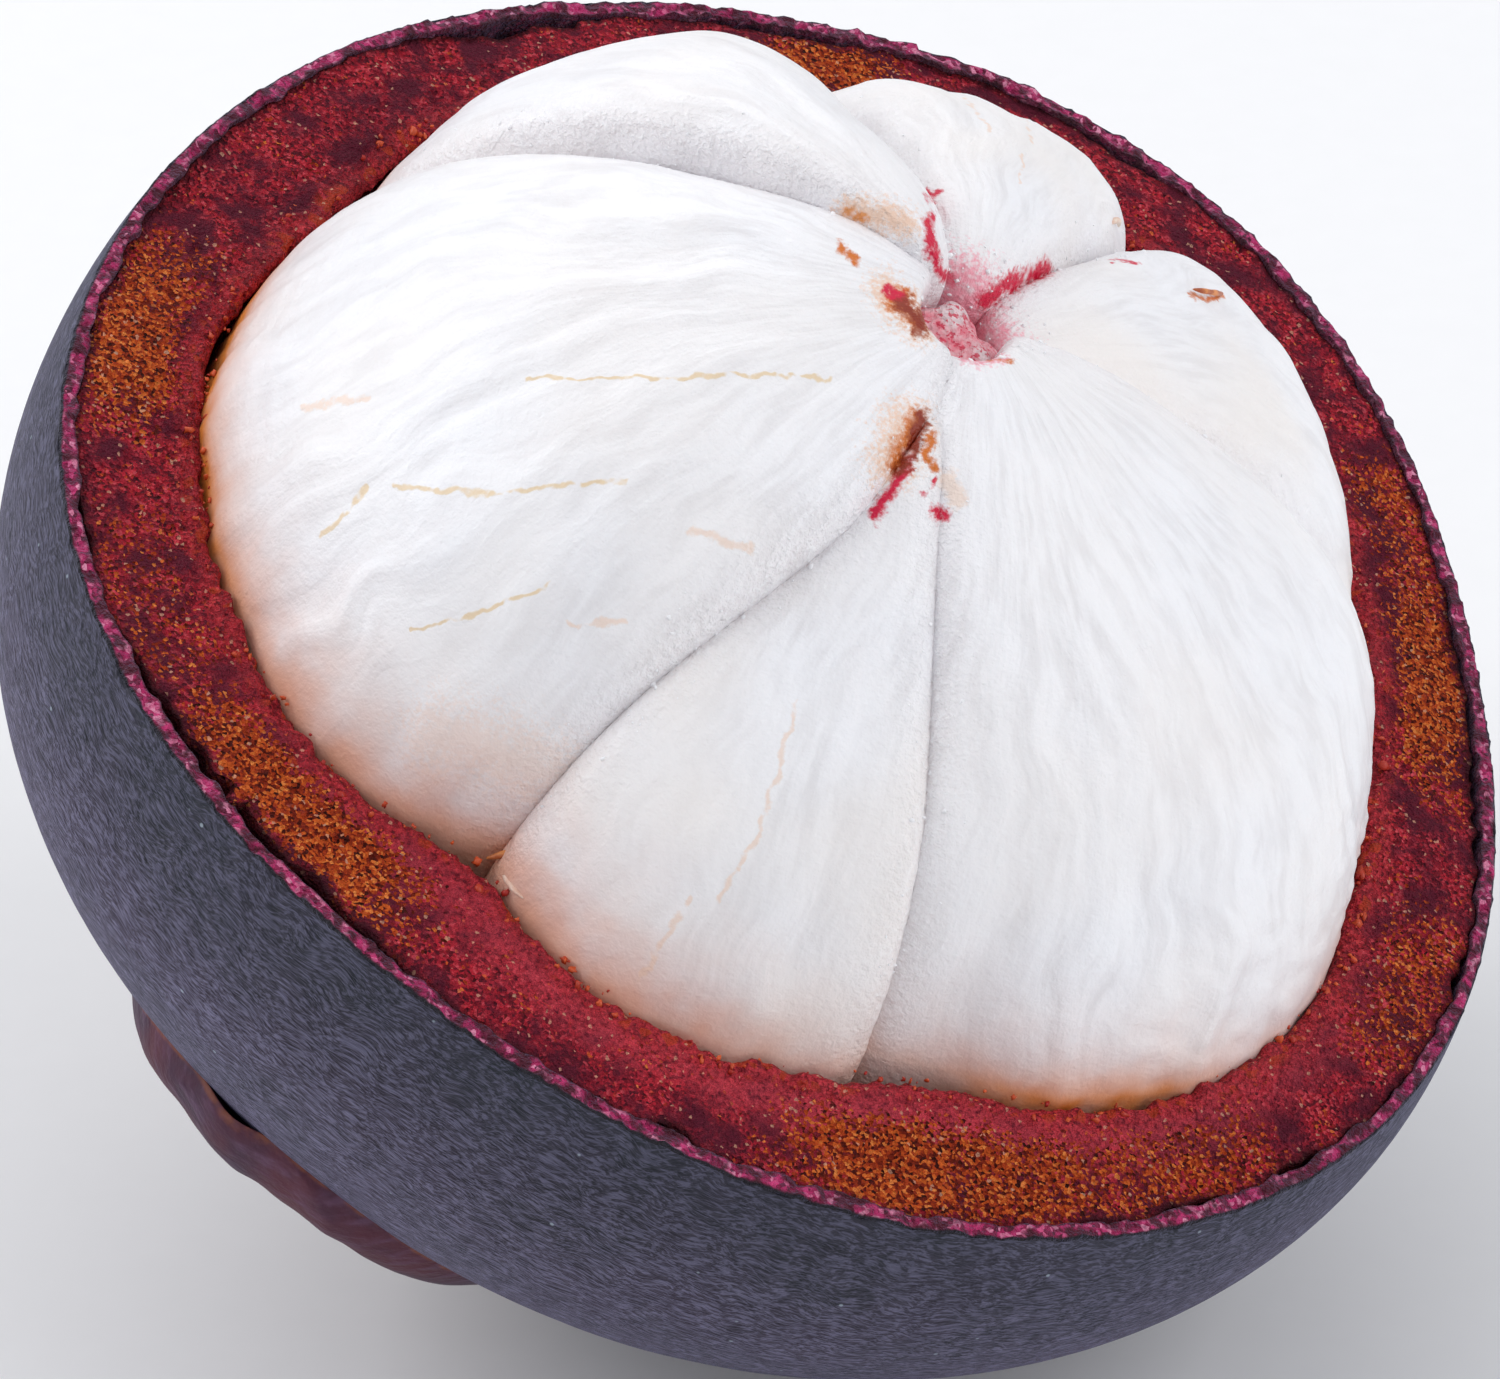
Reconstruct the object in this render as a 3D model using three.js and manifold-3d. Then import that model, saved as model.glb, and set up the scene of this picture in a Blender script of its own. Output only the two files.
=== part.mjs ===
// An opened mangosteen: half of the thick rind with the whole white segments standing out of it,
// lying on its calyx and stem stub. Millimetres, +Z up, the floor at z = 0.
//
// Every body is drawn in the fruit's own frame (origin at the centre of the round fruit, +z from
// the calyx to the cut side) and then leant over onto the floor.

import * as THREE from "three";
import { mergeVertices } from "three/addons/utils/BufferGeometryUtils.js";
import Module from "manifold-3d";

const wasm = await Module();
wasm.setup();

const rad = THREE.MathUtils.degToRad;

// How the fruit lies: it leans over by LEAN_TILT toward the azimuth LEAN_TOWARD.
const LEAN_TILT = rad(28.9);
const LEAN_TOWARD = rad(-40.3);
const FRUIT_CENTRE = new THREE.Vector3(0.73, -0.61, 28.0);

// Round body of the fruit, cut open above its widest line: it narrows a little quicker than a plain
// spheroid (BELLY), and its calyx end sits a little to one side (CALYX_DRIFT).
const FRUIT_RADIUS = 31;
const FRUIT_POLE = 24.5;
const CUT_HEIGHT = 4.1;
const RIND_THICK = 4.95;
const CAVITY_POLE = 18.6;
const CAVITY_CROWN = 20;
const RIM_ROUND = 0.2;
const BELLY = 0.012;
const CALYX_DRIFT = -0.45;
const FIT_GAP = 0.3;
const OUTER_ROWS = 12;
const INNER_ROWS = 10;
const SEGMENT_GAP = 0.36;
// Slow waves of the outline: lobes round the fruit, height, azimuth of a crest.
const RIM_WAVES = [
  [1, 0.38, 33], [2, 0.39, 68], [3, 0.95, -53], [4, 0.23, -37], [5, 0.19, -15],
];
// Ridges of the inner wall: azimuth, height, width. The narrow ones reach into the grooves.
const WALL_RIDGES = [
  [-162, 0.65, 22], [-123, 1.7, 9.5], [-76, 1.6, 13], [-14, 0.65, 17], [4, 0.1, 6], [55, 0.5, 7],
  [105, 0.5, 7], [153.5, 0.4, 7],
];

// Grooves between the segments: a point on the groove line and the azimuth it runs along.
const GROOVES = {
  a: [-0.45, -6.38, -131.3],
  b: [0.75, -6.5, -81],
  c: [0, 0, 4],
  d: [1.8, 3.68, 53.4],
  e: [-0.97, 3.88, 105],
  f: [-3.15, 2.1, 154.6],
  seam: [-0.2, 0, -92],
};
const GROOVE_GAP = 0.17;
// Weight of a bend against length where the rows of a segment are spread.
const BEND_WEIGHT = 20;

// Segments, anticlockwise: grooves on both sides, azimuth of the middle, radius of the point that
// the surface is drawn round, shift of the bulge, shortfall of the reach, height of the crest,
// rounding at the first and at the second side, distance of the inner face from the axis and its
// rounding.
const SEGMENTS = {
  aril_front_wedge: {
    from: ["a"], to: ["b"], mid: -106, hub: 15, bulge: 2, short: 0, top: 18.4,
    roundFrom: 1.9, roundTo: 1.6, inner: 0, innerRound: 1,
  },
  aril_front_right: {
    from: ["b", "seam"], to: ["c"], mid: -38, hub: 12, bulge: 2.6, short: 0, top: 19.9,
    roundFrom: 2.2, roundTo: 3.6, inner: -2, innerRound: 1.4,
  },
  aril_right: {
    from: ["c"], to: ["d"], mid: 29, hub: 12.5, bulge: 4.5, short: 0.6, top: 18.1,
    roundFrom: 3.5, roundTo: 3.5, inner: 2.7, innerRound: 2,
  },
  aril_back_right: {
    from: ["d"], to: ["e"], mid: 79, hub: 11.5, bulge: 5, short: 1.9, top: 19.5,
    roundFrom: 6, roundTo: 3.5, inner: 3, innerRound: 2,
  },
  aril_back_left: {
    from: ["e"], to: ["f"], mid: 133, hub: 12.5, bulge: 5.5, short: 0.8, top: 21.3,
    roundFrom: 7.5, roundTo: 3.5, inner: 2.2, innerRound: 2,
  },
  aril_front_left: {
    from: ["f"], to: ["a", "seam"], mid: -162, hub: 12, bulge: 2.6, short: 0, top: 20.9,
    roundFrom: 4.5, roundTo: 2.4, inner: 0.2, innerRound: 1.4,
  },
};

// Core between the segments.
const CORE_AT = [0.7, 1.6];
const CORE_RADIUS = 0.95;
const CORE_FOOT = -16.5;
const CORE_TIP = 17.9;

// Calyx: azimuth of each sepal, radius where it ends, half width, lift of its middle off the body
// and lift of its end.
const SEPALS = {
  sepal_front: [-124, 24.1, 10.6, 0.5, 1.1],
  sepal_under: [-34, 22.6, 10.2, 0.25, 0.15],
  sepal_right: [56, 23.4, 10.1, 0.5, 1.2],
  sepal_back: [146, 24.2, 10.4, 0.7, 1.6],
};
const SEPAL_START = 3.6;
const SEPAL_THICK = 1.7;

// Pieces that carry the fruit: each has a small flat spot where it meets the floor.
const RESTING = ["sepal_under", "stem"];

// Stem stub.
const STEM_RADIUS = 2.8;
const STEM_END = -31.2;

/** Closed body from a grid: `around` points to each ring, the first and last row are poles. */
function closedBody(around, rows, pointAt) {
  const positions = [];
  const index = [];
  const ring = (row) => 1 + (row - 1) * around;
  positions.push(...pointAt(0, 0));
  for (let row = 1; row < rows; row++) {
    for (let i = 0; i < around; i++) positions.push(...pointAt(i / around, row / rows));
  }
  positions.push(...pointAt(0, 1));
  const last = positions.length / 3 - 1;
  for (let i = 0; i < around; i++) {
    const j = (i + 1) % around;
    index.push(0, ring(1) + j, ring(1) + i);
    for (let row = 1; row < rows - 1; row++) {
      const [a, b] = [ring(row) + i, ring(row) + j];
      index.push(a, b, a + around, b, b + around, a + around);
    }
    index.push(last, ring(rows - 1) + i, ring(rows - 1) + j);
  }
  const body = new THREE.BufferGeometry();
  body.setAttribute("position", new THREE.Float32BufferAttribute(positions, 3));
  body.setIndex(index);
  return body;
}

/** Height of the slow waves of the outline at an azimuth. */
function outlineWave(azimuth) {
  return RIM_WAVES.reduce(
    (sum, [n, height, crest]) => sum + height * Math.cos(n * (azimuth - rad(crest))), 0);
}

/** How far the inner wall stands out or in at an azimuth, at its widest level. */
function wallWave(azimuth) {
  return WALL_RIDGES.reduce((sum, [at, height, width]) => {
    const away = Math.atan2(Math.sin(azimuth - rad(at)), Math.cos(azimuth - rad(at)));
    return sum - height * Math.exp(-((away / rad(width)) ** 2));
  }, outlineWave(azimuth));
}

/** Outer surface of the rind at an angle from the calyx pole, before its drift: radius, height. */
function outerPoint(azimuth, angle) {
  const radius = (FRUIT_RADIUS + outlineWave(azimuth) * Math.sin(angle) ** 2) * Math.sin(angle);
  return [radius * (1 - BELLY * Math.sin(2 * angle) ** 2), -FRUIT_POLE * Math.cos(angle)];
}

/** Inner wall of the rind at a height. */
function wallRadius(azimuth, height) {
  const reach = height < 0 ? CAVITY_POLE : CAVITY_CROWN;
  const level = Math.sqrt(Math.max(1 - (height / reach) ** 2, 0));
  return (FRUIT_RADIUS - RIND_THICK + wallWave(azimuth) * level ** 2) * level;
}

/** Sideways drift of the outside toward the calyx. */
function driftAt(height) {
  return CALYX_DRIFT * Math.min(Math.max(-height / FRUIT_POLE, 0), 1);
}

/** Profile of the cup: up the outside, over the cut face, down the wall to the bottom. */
function rindProfile(azimuth) {
  const rimAngle = Math.acos(-(CUT_HEIGHT - RIM_ROUND) / FRUIT_POLE);
  const profile = [];
  for (let k = 0; k <= OUTER_ROWS; k++) profile.push(outerPoint(azimuth, (rimAngle * k) / OUTER_ROWS));
  const outer = profile[OUTER_ROWS][0];
  const inner = wallRadius(azimuth, CUT_HEIGHT - RIM_ROUND);
  profile.push([outer - RIM_ROUND * 0.3, CUT_HEIGHT - RIM_ROUND * 0.3]);
  profile.push([outer - RIM_ROUND, CUT_HEIGHT], [inner + RIM_ROUND, CUT_HEIGHT]);
  profile.push([inner + RIM_ROUND * 0.3, CUT_HEIGHT - RIM_ROUND * 0.3]);
  const top = Math.asin((CUT_HEIGHT - RIM_ROUND) / CAVITY_POLE);
  for (let k = 0; k <= INNER_ROWS; k++) {
    const height = CAVITY_POLE * Math.sin(top - ((top + Math.PI / 2) * k) / INNER_ROWS);
    profile.push([k === INNER_ROWS ? 0 : wallRadius(azimuth, height), height]);
  }
  return profile;
}

function makeRind() {
  const rows = rindProfile(0).length - 1;
  return closedBody(64, rows, (u, v) => {
    const azimuth = 2 * Math.PI * u;
    const row = Math.round(v * rows);
    const [radius, height] = rindProfile(azimuth)[row];
    const drift = row < OUTER_ROWS ? driftAt(height) : 0;
    return [radius * Math.cos(azimuth) + drift, radius * Math.sin(azimuth), height];
  });
}

/** The larger of two distances, with the corner between them rounded over. */
function roundedMax(a, b, round) {
  const overlap = Math.max(round - Math.abs(a - b), 0);
  return Math.max(a, b) + (overlap * overlap) / (4 * round);
}

/** Distance to one side of a groove: positive on the far side of it. */
function grooveSide(name, x, y) {
  const [gx, gy, azimuth] = GROOVES[name];
  return -(x - gx) * Math.sin(rad(azimuth)) + (y - gy) * Math.cos(rad(azimuth));
}

/** How far a point lies outside a segment. */
function segmentDistance(segment, x, y, z) {
  const [mx, my] = [Math.cos(rad(segment.mid)), Math.sin(rad(segment.mid))];
  const height = z > 0 ? segment.top : CAVITY_POLE - SEGMENT_GAP;
  const taper = Math.sqrt(Math.max(1 - (z / height) ** 2, 0));
  const reach = FRUIT_RADIUS + wallWave(Math.atan2(y, x)) * taper ** 2
    - RIND_THICK - SEGMENT_GAP - segment.bulge - segment.short;
  const shift = segment.bulge * (z > 0 ? 1 : taper);
  const level = Math.hypot(x - shift * mx, y - shift * my) / reach;
  let distance = (Math.hypot(level, z / height) - 1) * reach;
  for (const name of segment.from) {
    distance = roundedMax(distance, GROOVE_GAP - grooveSide(name, x, y), segment.roundFrom);
  }
  for (const name of segment.to) {
    distance = roundedMax(distance, GROOVE_GAP + grooveSide(name, x, y), segment.roundTo);
  }
  return roundedMax(distance, segment.inner - (x * mx + y * my), segment.innerRound);
}

/** Point where a ray from the middle of a segment leaves it, for a turn and an angle off its side. */
function segmentPoint(segment, turn, angle) {
  const [mx, my] = [Math.cos(rad(segment.mid)), Math.sin(rad(segment.mid))];
  const [out, side] = [Math.sin(angle) * Math.cos(turn), Math.cos(angle)];
  const ray = [out * mx - side * my, out * my + side * mx, Math.sin(angle) * Math.sin(turn)];
  const at = (t) => [segment.hub * mx + t * ray[0], segment.hub * my + t * ray[1], t * ray[2]];
  let [near, far] = [0, 40];
  for (let k = 0; k < 24; k++) {
    const middle = (near + far) / 2;
    if (segmentDistance(segment, ...at(middle)) < 0) near = middle;
    else far = middle;
  }
  return new THREE.Vector3(...at(near));
}

/** Thins a line out to `rows` steps that are shorter where it bends more. */
function spreadRows(line, rows) {
  const weight = [0];
  for (let k = 1; k < line.length; k++) {
    const step = line[k].clone().sub(line[k - 1]);
    const next = line[Math.min(k + 1, line.length - 1)].clone().sub(line[k]);
    const bend = next.lengthSq() > 0 ? step.angleTo(next) : 0;
    weight.push(weight[k - 1] + step.length() + BEND_WEIGHT * bend);
  }
  let k = 0;
  return Array.from({ length: rows + 1 }, (_, row) => {
    const wanted = (weight[line.length - 1] * row) / rows;
    while (k < line.length - 2 && weight[k + 1] < wanted) k++;
    const share = Math.min((wanted - weight[k]) / (weight[k + 1] - weight[k]), 1);
    return line[k].clone().lerp(line[k + 1], share);
  });
}

/** One segment: lines from side to side over it, spread so that the rows follow its edges. */
function makeSegment(segment) {
  const [around, rows, fine] = [28, 20, 72];
  const lines = Array.from({ length: around }, (_, i) => {
    const turn = (2 * Math.PI * i) / around;
    const steps = Array.from({ length: fine + 1 }, (_, k) => (Math.PI * k) / fine);
    return spreadRows(steps.map((angle) => segmentPoint(segment, turn, angle)), rows);
  });
  return closedBody(around, rows, (u, v) => {
    return lines[Math.round(u * around)][Math.round(v * rows)].toArray();
  });
}

/** The thin core with its torn, slightly swollen tip. */
function makeCore() {
  return closedBody(14, 14, (u, v) => {
    const turn = 2 * Math.PI * u;
    const height = CORE_FOOT + (CORE_TIP - CORE_FOOT) * (1 - Math.cos(Math.PI * v)) * 0.5;
    const end = Math.sqrt(Math.max(1 - Math.abs(2 * v - 1) ** 8, 0));
    const torn = 1 + 0.12 * v * Math.cos(3 * turn + 5 * v);
    const radius = v === 0 || v === 1 ? 0 : CORE_RADIUS * end * torn * 0.88;
    return [CORE_AT[0] + radius * Math.cos(turn), CORE_AT[1] + radius * Math.sin(turn), height];
  });
}

/** Point on the outside of the fruit under a plan position, and the way out of it. */
function bodyPoint(x, y) {
  const radius = Math.hypot(x, y);
  const wave = outlineWave(Math.atan2(y, x)) * (radius / FRUIT_RADIUS) ** 2;
  const height = -FRUIT_POLE * Math.sqrt(1 - (radius / (FRUIT_RADIUS + wave)) ** 2);
  const point = new THREE.Vector3(x + driftAt(height), y, height);
  const out = new THREE.Vector3(x / FRUIT_RADIUS ** 2, y / FRUIT_RADIUS ** 2, height / FRUIT_POLE ** 2);
  return [point, out.normalize()];
}

/** A thick round sepal lying along the body, its middle and end lifted and its sides turned back. */
function makeSepal([azimuth, end, halfWidth, liftMiddle, liftEnd]) {
  const [cos, sin] = [Math.cos(rad(azimuth)), Math.sin(rad(azimuth))];
  return closedBody(20, 14, (u, v) => {
    const along = (1 - Math.cos(Math.PI * v)) / 2;
    const width = halfWidth * Math.sqrt((1 - (1 - along) ** 2) * (1 - along ** 6));
    const across = Math.cos(2 * Math.PI * u);
    const through = -Math.sin(2 * Math.PI * u);
    const [px, py] = [SEPAL_START + (end - SEPAL_START) * along, width * across];
    const [point, out] = bodyPoint(px * cos - py * sin, px * sin + py * cos);
    const cupped = 1 - 0.75 * across ** 2;
    const lift = (liftMiddle * Math.sin(Math.PI * along) + liftEnd * along ** 2) * cupped;
    const half = (SEPAL_THICK / 2) * (1 - 0.35 * along) * Math.sign(through) * Math.abs(through) ** 0.6;
    const edge = v === 0 || v === 1 ? 0 : Math.min(1, 4 * Math.sin(Math.PI * v));
    point.addScaledVector(out, FIT_GAP + 0.1 + SEPAL_THICK / 2 + lift + half * edge);
    return point.toArray();
  });
}

/** The woody stub in the middle of the calyx. */
function makeStem() {
  const start = -FRUIT_POLE - FIT_GAP;
  const profile = [
    [0, start], [2.2, start], [2.75, start - 0.5], [2.5, start - 1.6], [2.35, start - 2.6],
    [2.6, start - 3.6], [STEM_RADIUS, STEM_END + 1.5], [STEM_RADIUS, STEM_END + 0.5],
    [2.4, STEM_END], [1.2, STEM_END + 0.15], [0, STEM_END + 0.3],
  ];
  return closedBody(20, profile.length - 1, (u, v) => {
    const turn = 2 * Math.PI * u;
    const [radius, height] = profile[profile.length - 1 - Math.round(v * (profile.length - 1))];
    const swell = radius * (1 + 0.04 * Math.cos(4 * turn));
    return [swell * Math.cos(turn) + CALYX_DRIFT, swell * Math.sin(turn), height];
  });
}

/** Closed solid from a shape, ready to be cut. */
function toSolid(shape) {
  return new wasm.Manifold(new wasm.Mesh({
    numProp: 3,
    vertProperties: new Float32Array(shape.getAttribute("position").array),
    triVerts: new Uint32Array(shape.index.array),
  }));
}

/** Cuts away what lies under the floor, which leaves a small flat spot to rest on. */
function trimAtFloor(shape, lean) {
  const slab = new THREE.BoxGeometry(90, 90, 10).translate(0, 0, -5).applyMatrix4(lean.clone().invert());
  slab.deleteAttribute("normal");
  slab.deleteAttribute("uv");
  const { vertProperties, triVerts } = toSolid(shape).subtract(toSolid(mergeVertices(slab))).getMesh();
  const trimmed = new THREE.BufferGeometry();
  trimmed.setAttribute("position", new THREE.BufferAttribute(vertProperties, 3));
  trimmed.setIndex([...triVerts]);
  return trimmed;
}

/** Finishes a shape and adds it to the fruit under its name. */
function addPart(fruit, name, shape, color, roughness) {
  const finished = RESTING.includes(name) ? trimAtFloor(shape, fruit.matrix) : shape;
  finished.computeVertexNormals();
  const mesh = new THREE.Mesh(finished, new THREE.MeshStandardMaterial({ color, roughness }));
  mesh.name = name;
  fruit.add(mesh);
}

/** The whole fruit, leant over and set down on the floor. */
function makeMangosteen() {
  const fruit = new THREE.Group();
  const hinge = new THREE.Vector3(-Math.sin(LEAN_TOWARD), Math.cos(LEAN_TOWARD), 0);
  fruit.quaternion.setFromAxisAngle(hinge, LEAN_TILT);
  fruit.position.copy(FRUIT_CENTRE);
  fruit.updateMatrix();
  addPart(fruit, "rind", makeRind(), 0x4a2230, 0.7);
  for (const [name, segment] of Object.entries(SEGMENTS)) {
    addPart(fruit, name, makeSegment(segment), 0xf1efee, 0.45);
  }
  addPart(fruit, "core", makeCore(), 0xe58fa4, 0.5);
  for (const [name, sepal] of Object.entries(SEPALS)) {
    addPart(fruit, name, makeSepal(sepal), 0x5a3f4c, 0.6);
  }
  addPart(fruit, "stem", makeStem(), 0x5b4334, 0.8);
  return new THREE.Group().add(fruit);
}

export default makeMangosteen();
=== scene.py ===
"""The looks of an opened mangosteen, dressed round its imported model.

Lengths are millimetres in the fruit's own frame (origin at the centre of the round fruit, +z from
the calyx to the cut side). `set_down` leans the fruit over onto the floor and gives metres.
"""

import bpy
import numpy as np
from mathutils import Matrix, Vector


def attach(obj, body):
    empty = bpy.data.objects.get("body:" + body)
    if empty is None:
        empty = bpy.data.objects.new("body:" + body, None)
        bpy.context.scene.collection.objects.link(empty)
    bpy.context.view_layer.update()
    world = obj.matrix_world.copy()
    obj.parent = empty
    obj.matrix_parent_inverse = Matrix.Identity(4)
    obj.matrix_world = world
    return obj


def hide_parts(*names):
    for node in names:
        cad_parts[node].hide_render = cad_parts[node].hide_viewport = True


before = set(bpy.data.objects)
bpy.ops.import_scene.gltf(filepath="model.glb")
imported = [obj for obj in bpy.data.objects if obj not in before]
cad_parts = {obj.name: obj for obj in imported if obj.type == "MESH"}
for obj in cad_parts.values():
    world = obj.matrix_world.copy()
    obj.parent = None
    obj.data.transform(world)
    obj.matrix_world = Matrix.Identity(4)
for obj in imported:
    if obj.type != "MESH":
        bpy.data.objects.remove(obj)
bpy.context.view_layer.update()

MM = 0.001

# How the fruit lies.
LEAN_TILT = np.radians(28.9)
LEAN_TOWARD = np.radians(-40.3)
FRUIT_CENTRE = Vector((0.73, -0.61, 28.0)) * MM
LEAN = Matrix.Rotation(LEAN_TILT, 3, (-np.sin(LEAN_TOWARD), np.cos(LEAN_TOWARD), 0))

# The photograph's viewing angle, and the way to the camera in the fruit's frame.
CAMERA_RISE = np.radians(30)
SIGHT = np.array(LEAN).T @ (0, -np.cos(CAMERA_RISE), np.sin(CAMERA_RISE))

# Share of the distance along the line of sight that marks leave out, and how far noise shakes them.
MARK_FLATTEN = 0.93
MARK_SHAKE = 0.7

# Round body of the fruit and its hollow.
FRUIT_RADIUS = 31
FRUIT_POLE = 24.5
CUT_HEIGHT = 4.1
RIND_THICK = 4.95
CAVITY_POLE = 18.6
CAVITY_CROWN = 20
BELLY = 0.012
CALYX_DRIFT = -0.45
FIT_GAP = 0.3
SEGMENT_GAP = 0.36
# Slow waves of the outline: lobes round the fruit, height, azimuth of a crest.
RIM_WAVES = [(1, 0.38, 33), (2, 0.39, 68), (3, 0.95, -53), (4, 0.23, -37), (5, 0.19, -15)]
# Ridges of the inner wall: azimuth, height, width.
WALL_RIDGES = [
    (-162, 0.65, 22), (-123, 1.7, 9.5), (-76, 1.6, 13), (-14, 0.65, 17),
    (4, 0.1, 6), (55, 0.5, 7), (105, 0.5, 7), (153.5, 0.4, 7),
]

# The skin's broken edge and the cut flesh inside it.
SKIN_ROUND = 0.14
BAND_WIDTH = 0.66
SKIN_THICK = 0.7
SKIN_DEEP = 3.5
FLESH_SUNK = 0.18
EDGE_ROUND = 0.55
# Dark splits between the skin and the flesh: azimuth, half length in degrees, width.
SPLITS = [
    (-137, 15, 0.6), (-56, 2.5, 0.4), (-46, 2, 0.35), (120, 8, 0.6), (2, 13, 0.3),
    (67, 4, 0.4), (-97, 2, 0.25), (97, 8, 0.35), (-20, 2, 0.3), (-163, 3, 0.3),
]
# Brown grainy patches of the cut flesh: azimuth, half length in degrees, strength.
BROWN_PATCHES = [
    (176, 10, 1.0), (-135, 12, 1.0), (-75, 13, 1.0), (-56, 9, 0.55), (-24, 9, 0.5),
    (10, 13, 1.0), (27, 7, 0.6), (92, 6, 0.9), (-155, 10, 0.3),
]
# Where painted light brightens the cut flesh to a rosy red: azimuth, half length in degrees, strength.
PAINTED_LIGHT_PLACES = [(-85, 55, 1.0)]
# Where the pulp has a peach tint toward the rim: azimuth, half length in degrees, strength.
PEACH_PLACES = [(-128, 36, 1.0), (-62, 14, 0.45), (165, 22, 0.3)]
# Where an orange glow is painted on the pulp at the flesh, and where the sides of its rim are wrinkled: the
# same three.
PAINTED_GLOW_PLACES = [(180, 24, 1.0), (-60, 12, 0.7)]
WRINKLED_PLACES = [(-25, 40, 1.0), (-175, 25, 0.5)]
# Where the segments stand clear of the flesh: the same three.
OPEN_GAPS = [(176, 5, 1.0), (-32, 8, 1.0)]
# Where the flesh reaches in over the hollow: azimuth, half length in degrees, reach.
FLESH_LIPS = [(154, 17, 0.55)]

# Grooves between the segments: a point on the groove line and the azimuth it runs along.
GROOVES = {
    "a": (-1.1, -5.6, -128),
    "b": (-1.1, -5.6, -75.4),
    "c": (0, 0, 4),
    "d": (1.8, 3.68, 53.4),
    "e": (-0.97, 3.88, 105),
    "f": (-3.15, 2.1, 154.6),
    "seam": (-1.1, -5.6, -95.6),
}
# Half the gap in a groove: below 0 the segments overlap there.
GROOVE_GAP = -0.25
# How far groove "a" bows toward the wedge, a third of the way out.
GROOVE_BOW = 0.8

# Segments: grooves on both sides with the rounding over each, azimuth of the middle, radius of the
# point that the surface is drawn round, shift of the bulge, shortfall of the reach, height of the
# crest, distance of the inner face from the axis and its rounding.
SEGMENTS = {
    "front_wedge": ([("a", 1.8)], [("b", 1.3)], -106, 15, 2, 0, 18.4, 0, 1),
    "front_right": ([("b", 1.9), ("seam", 0.6)], [("c", 3.4)], -38, 12, 2.6, 0, 19.9, -2, 1.4),
    "right": ([("c", 3.2)], [("d", 3.2)], 29, 12.5, 4.5, 0.6, 18.1, 2.2, 1.4),
    "back_right": ([("d", 6)], [("e", 3.5)], 79, 11.5, 5, 1.9, 19.5, 2.3, 1.4),
    "back_left": ([("e", 7.5)], [("f", 1.4)], 133, 12.5, 5.5, 0.8, 21.3, 1.6, 1.4),
    "front_left": ([("f", 3.4)], [("a", 2.3), ("seam", 0.6)], -162, 12, 2.6, 0, 20.9, 0.2, 1.0),
}

# Recess between the segments' tips: middle and radius.
RECESS_AT = (-0.25, -0.3)
RECESS_RADIUS = 1.8

# Where the crests of the three front segments meet: place, height, and how far they are drawn to it.
JOINED_AT = (-0.6, -5)
JOINED_TOP = 20.4
JOINED_REACH = 6

# Core between the segments: place of its foot, radius, heights of its ends.
CORE_AT = (0.7, 1.6)
CORE_RADIUS = 0.84
CORE_FOOT = -16.5
CORE_TIP = 19.2

# Calyx: azimuth, radius where it ends, half width, lift of its middle and of its end.
SEPALS = {
    "front": (-124.5, 26.8, 10.9, 0.0, -0.1),
    "under": (-34, 22.6, 10.2, 0.1, 0.1),
    "right": (56, 24.4, 10.6, 0.3, 0.5),
    "back": (146, 25.4, 11.2, 0.4, 0.7),
}
SEPAL_START = 3.6
SEPAL_THICK = 1.7

# Woody stub: its radius and the height of its end.
STEM_RADIUS = 2.8
STEM_END = -31.2

# Loose fibres: kind, radius in the middle and the points passed, in the fruit's frame.
STRANDS = [
    ("pale", 0.13, [(-9.7, -16.6, 6.9), (-10.3, -17.2, 6.6), (-10.8, -19.8, 5.1)]),
    ("pale", 0.16, [(-10.8, -17.8, 3.4), (-11.1, -19.6, 4.2), (-10.4, -20.7, 4.5)]),
    ("pale", 0.12, [(-12.3, -18.2, 4.4), (-11.3, -18.0, 4.7), (-10.8, -19.2, 5.5)]),
    ("red", 0.15, [(-9.9, -16.8, 5.6), (-9.2, -16.0, 7.0), (-8.6, -15.2, 8.3)]),
    ("orange", 0.13, [(-11.9, -18.9, 4.0), (-11.2, -18.8, 4.6), (-10.5, -18.2, 5.0)]),
    ("orange", 0.12, [(10.6, 9.3, 16.2), (11.6, 9.9, 15.8), (12.6, 11.3, 14.6)]),
    ("pale", 0.12, [(7.7, 13.6, 13.7), (8.3, 14.5, 13.6), (8.6, 14.6, 13.2)]),
]

# Reliefs made of layered noise: height or share, size of the lumps and seed of each layer.
LAYERS = {
    "band_width": [(0.12, 3, 11), (0.15, 0.7, 12)],
    "split_width": [(0.3, 2.4, 21), (0.3, 0.6, 22)],
    "skin_edge": [(0.5, 0.62, 31), (0.35, 0.33, 32), (0.3, 0.19, 33)],
    "skin_dents": [(0.10, 5, 34), (0.035, 1.7, 35)],
    "flesh_lip": [(0.5, 1.1, 41), (0.3, 0.45, 42)],
    "flesh_grain": [(0.45, 0.9, 51), (0.5, 0.42, 52), (0.5, 0.24, 53)],
    "fan_wander": [(0.05, 4.5, 60), (0.025, 1.9, 68)],
    "pulp_swell": [(1, 5.5, 63), (0.4, 2.4, 64)],
    "pulp_sugar": [(1, 0.55, 66), (0.6, 0.3, 67)],
    "core_torn": [(1, 1.1, 71), (0.6, 0.5, 72)],
    "sepal_waves": [(0.10, 3.2, 81), (0.05, 1.1, 82)],
}
# Heights in the pulp's relief: fanned ridges, threads, swellings, wrinkles at the rim, sugary grooves.
RIDGES, THREADS, SWELL, WRINKLES, SUGAR = 0.17, 0.06, 0.12, 0.09, 0.08


# Helpers


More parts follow.
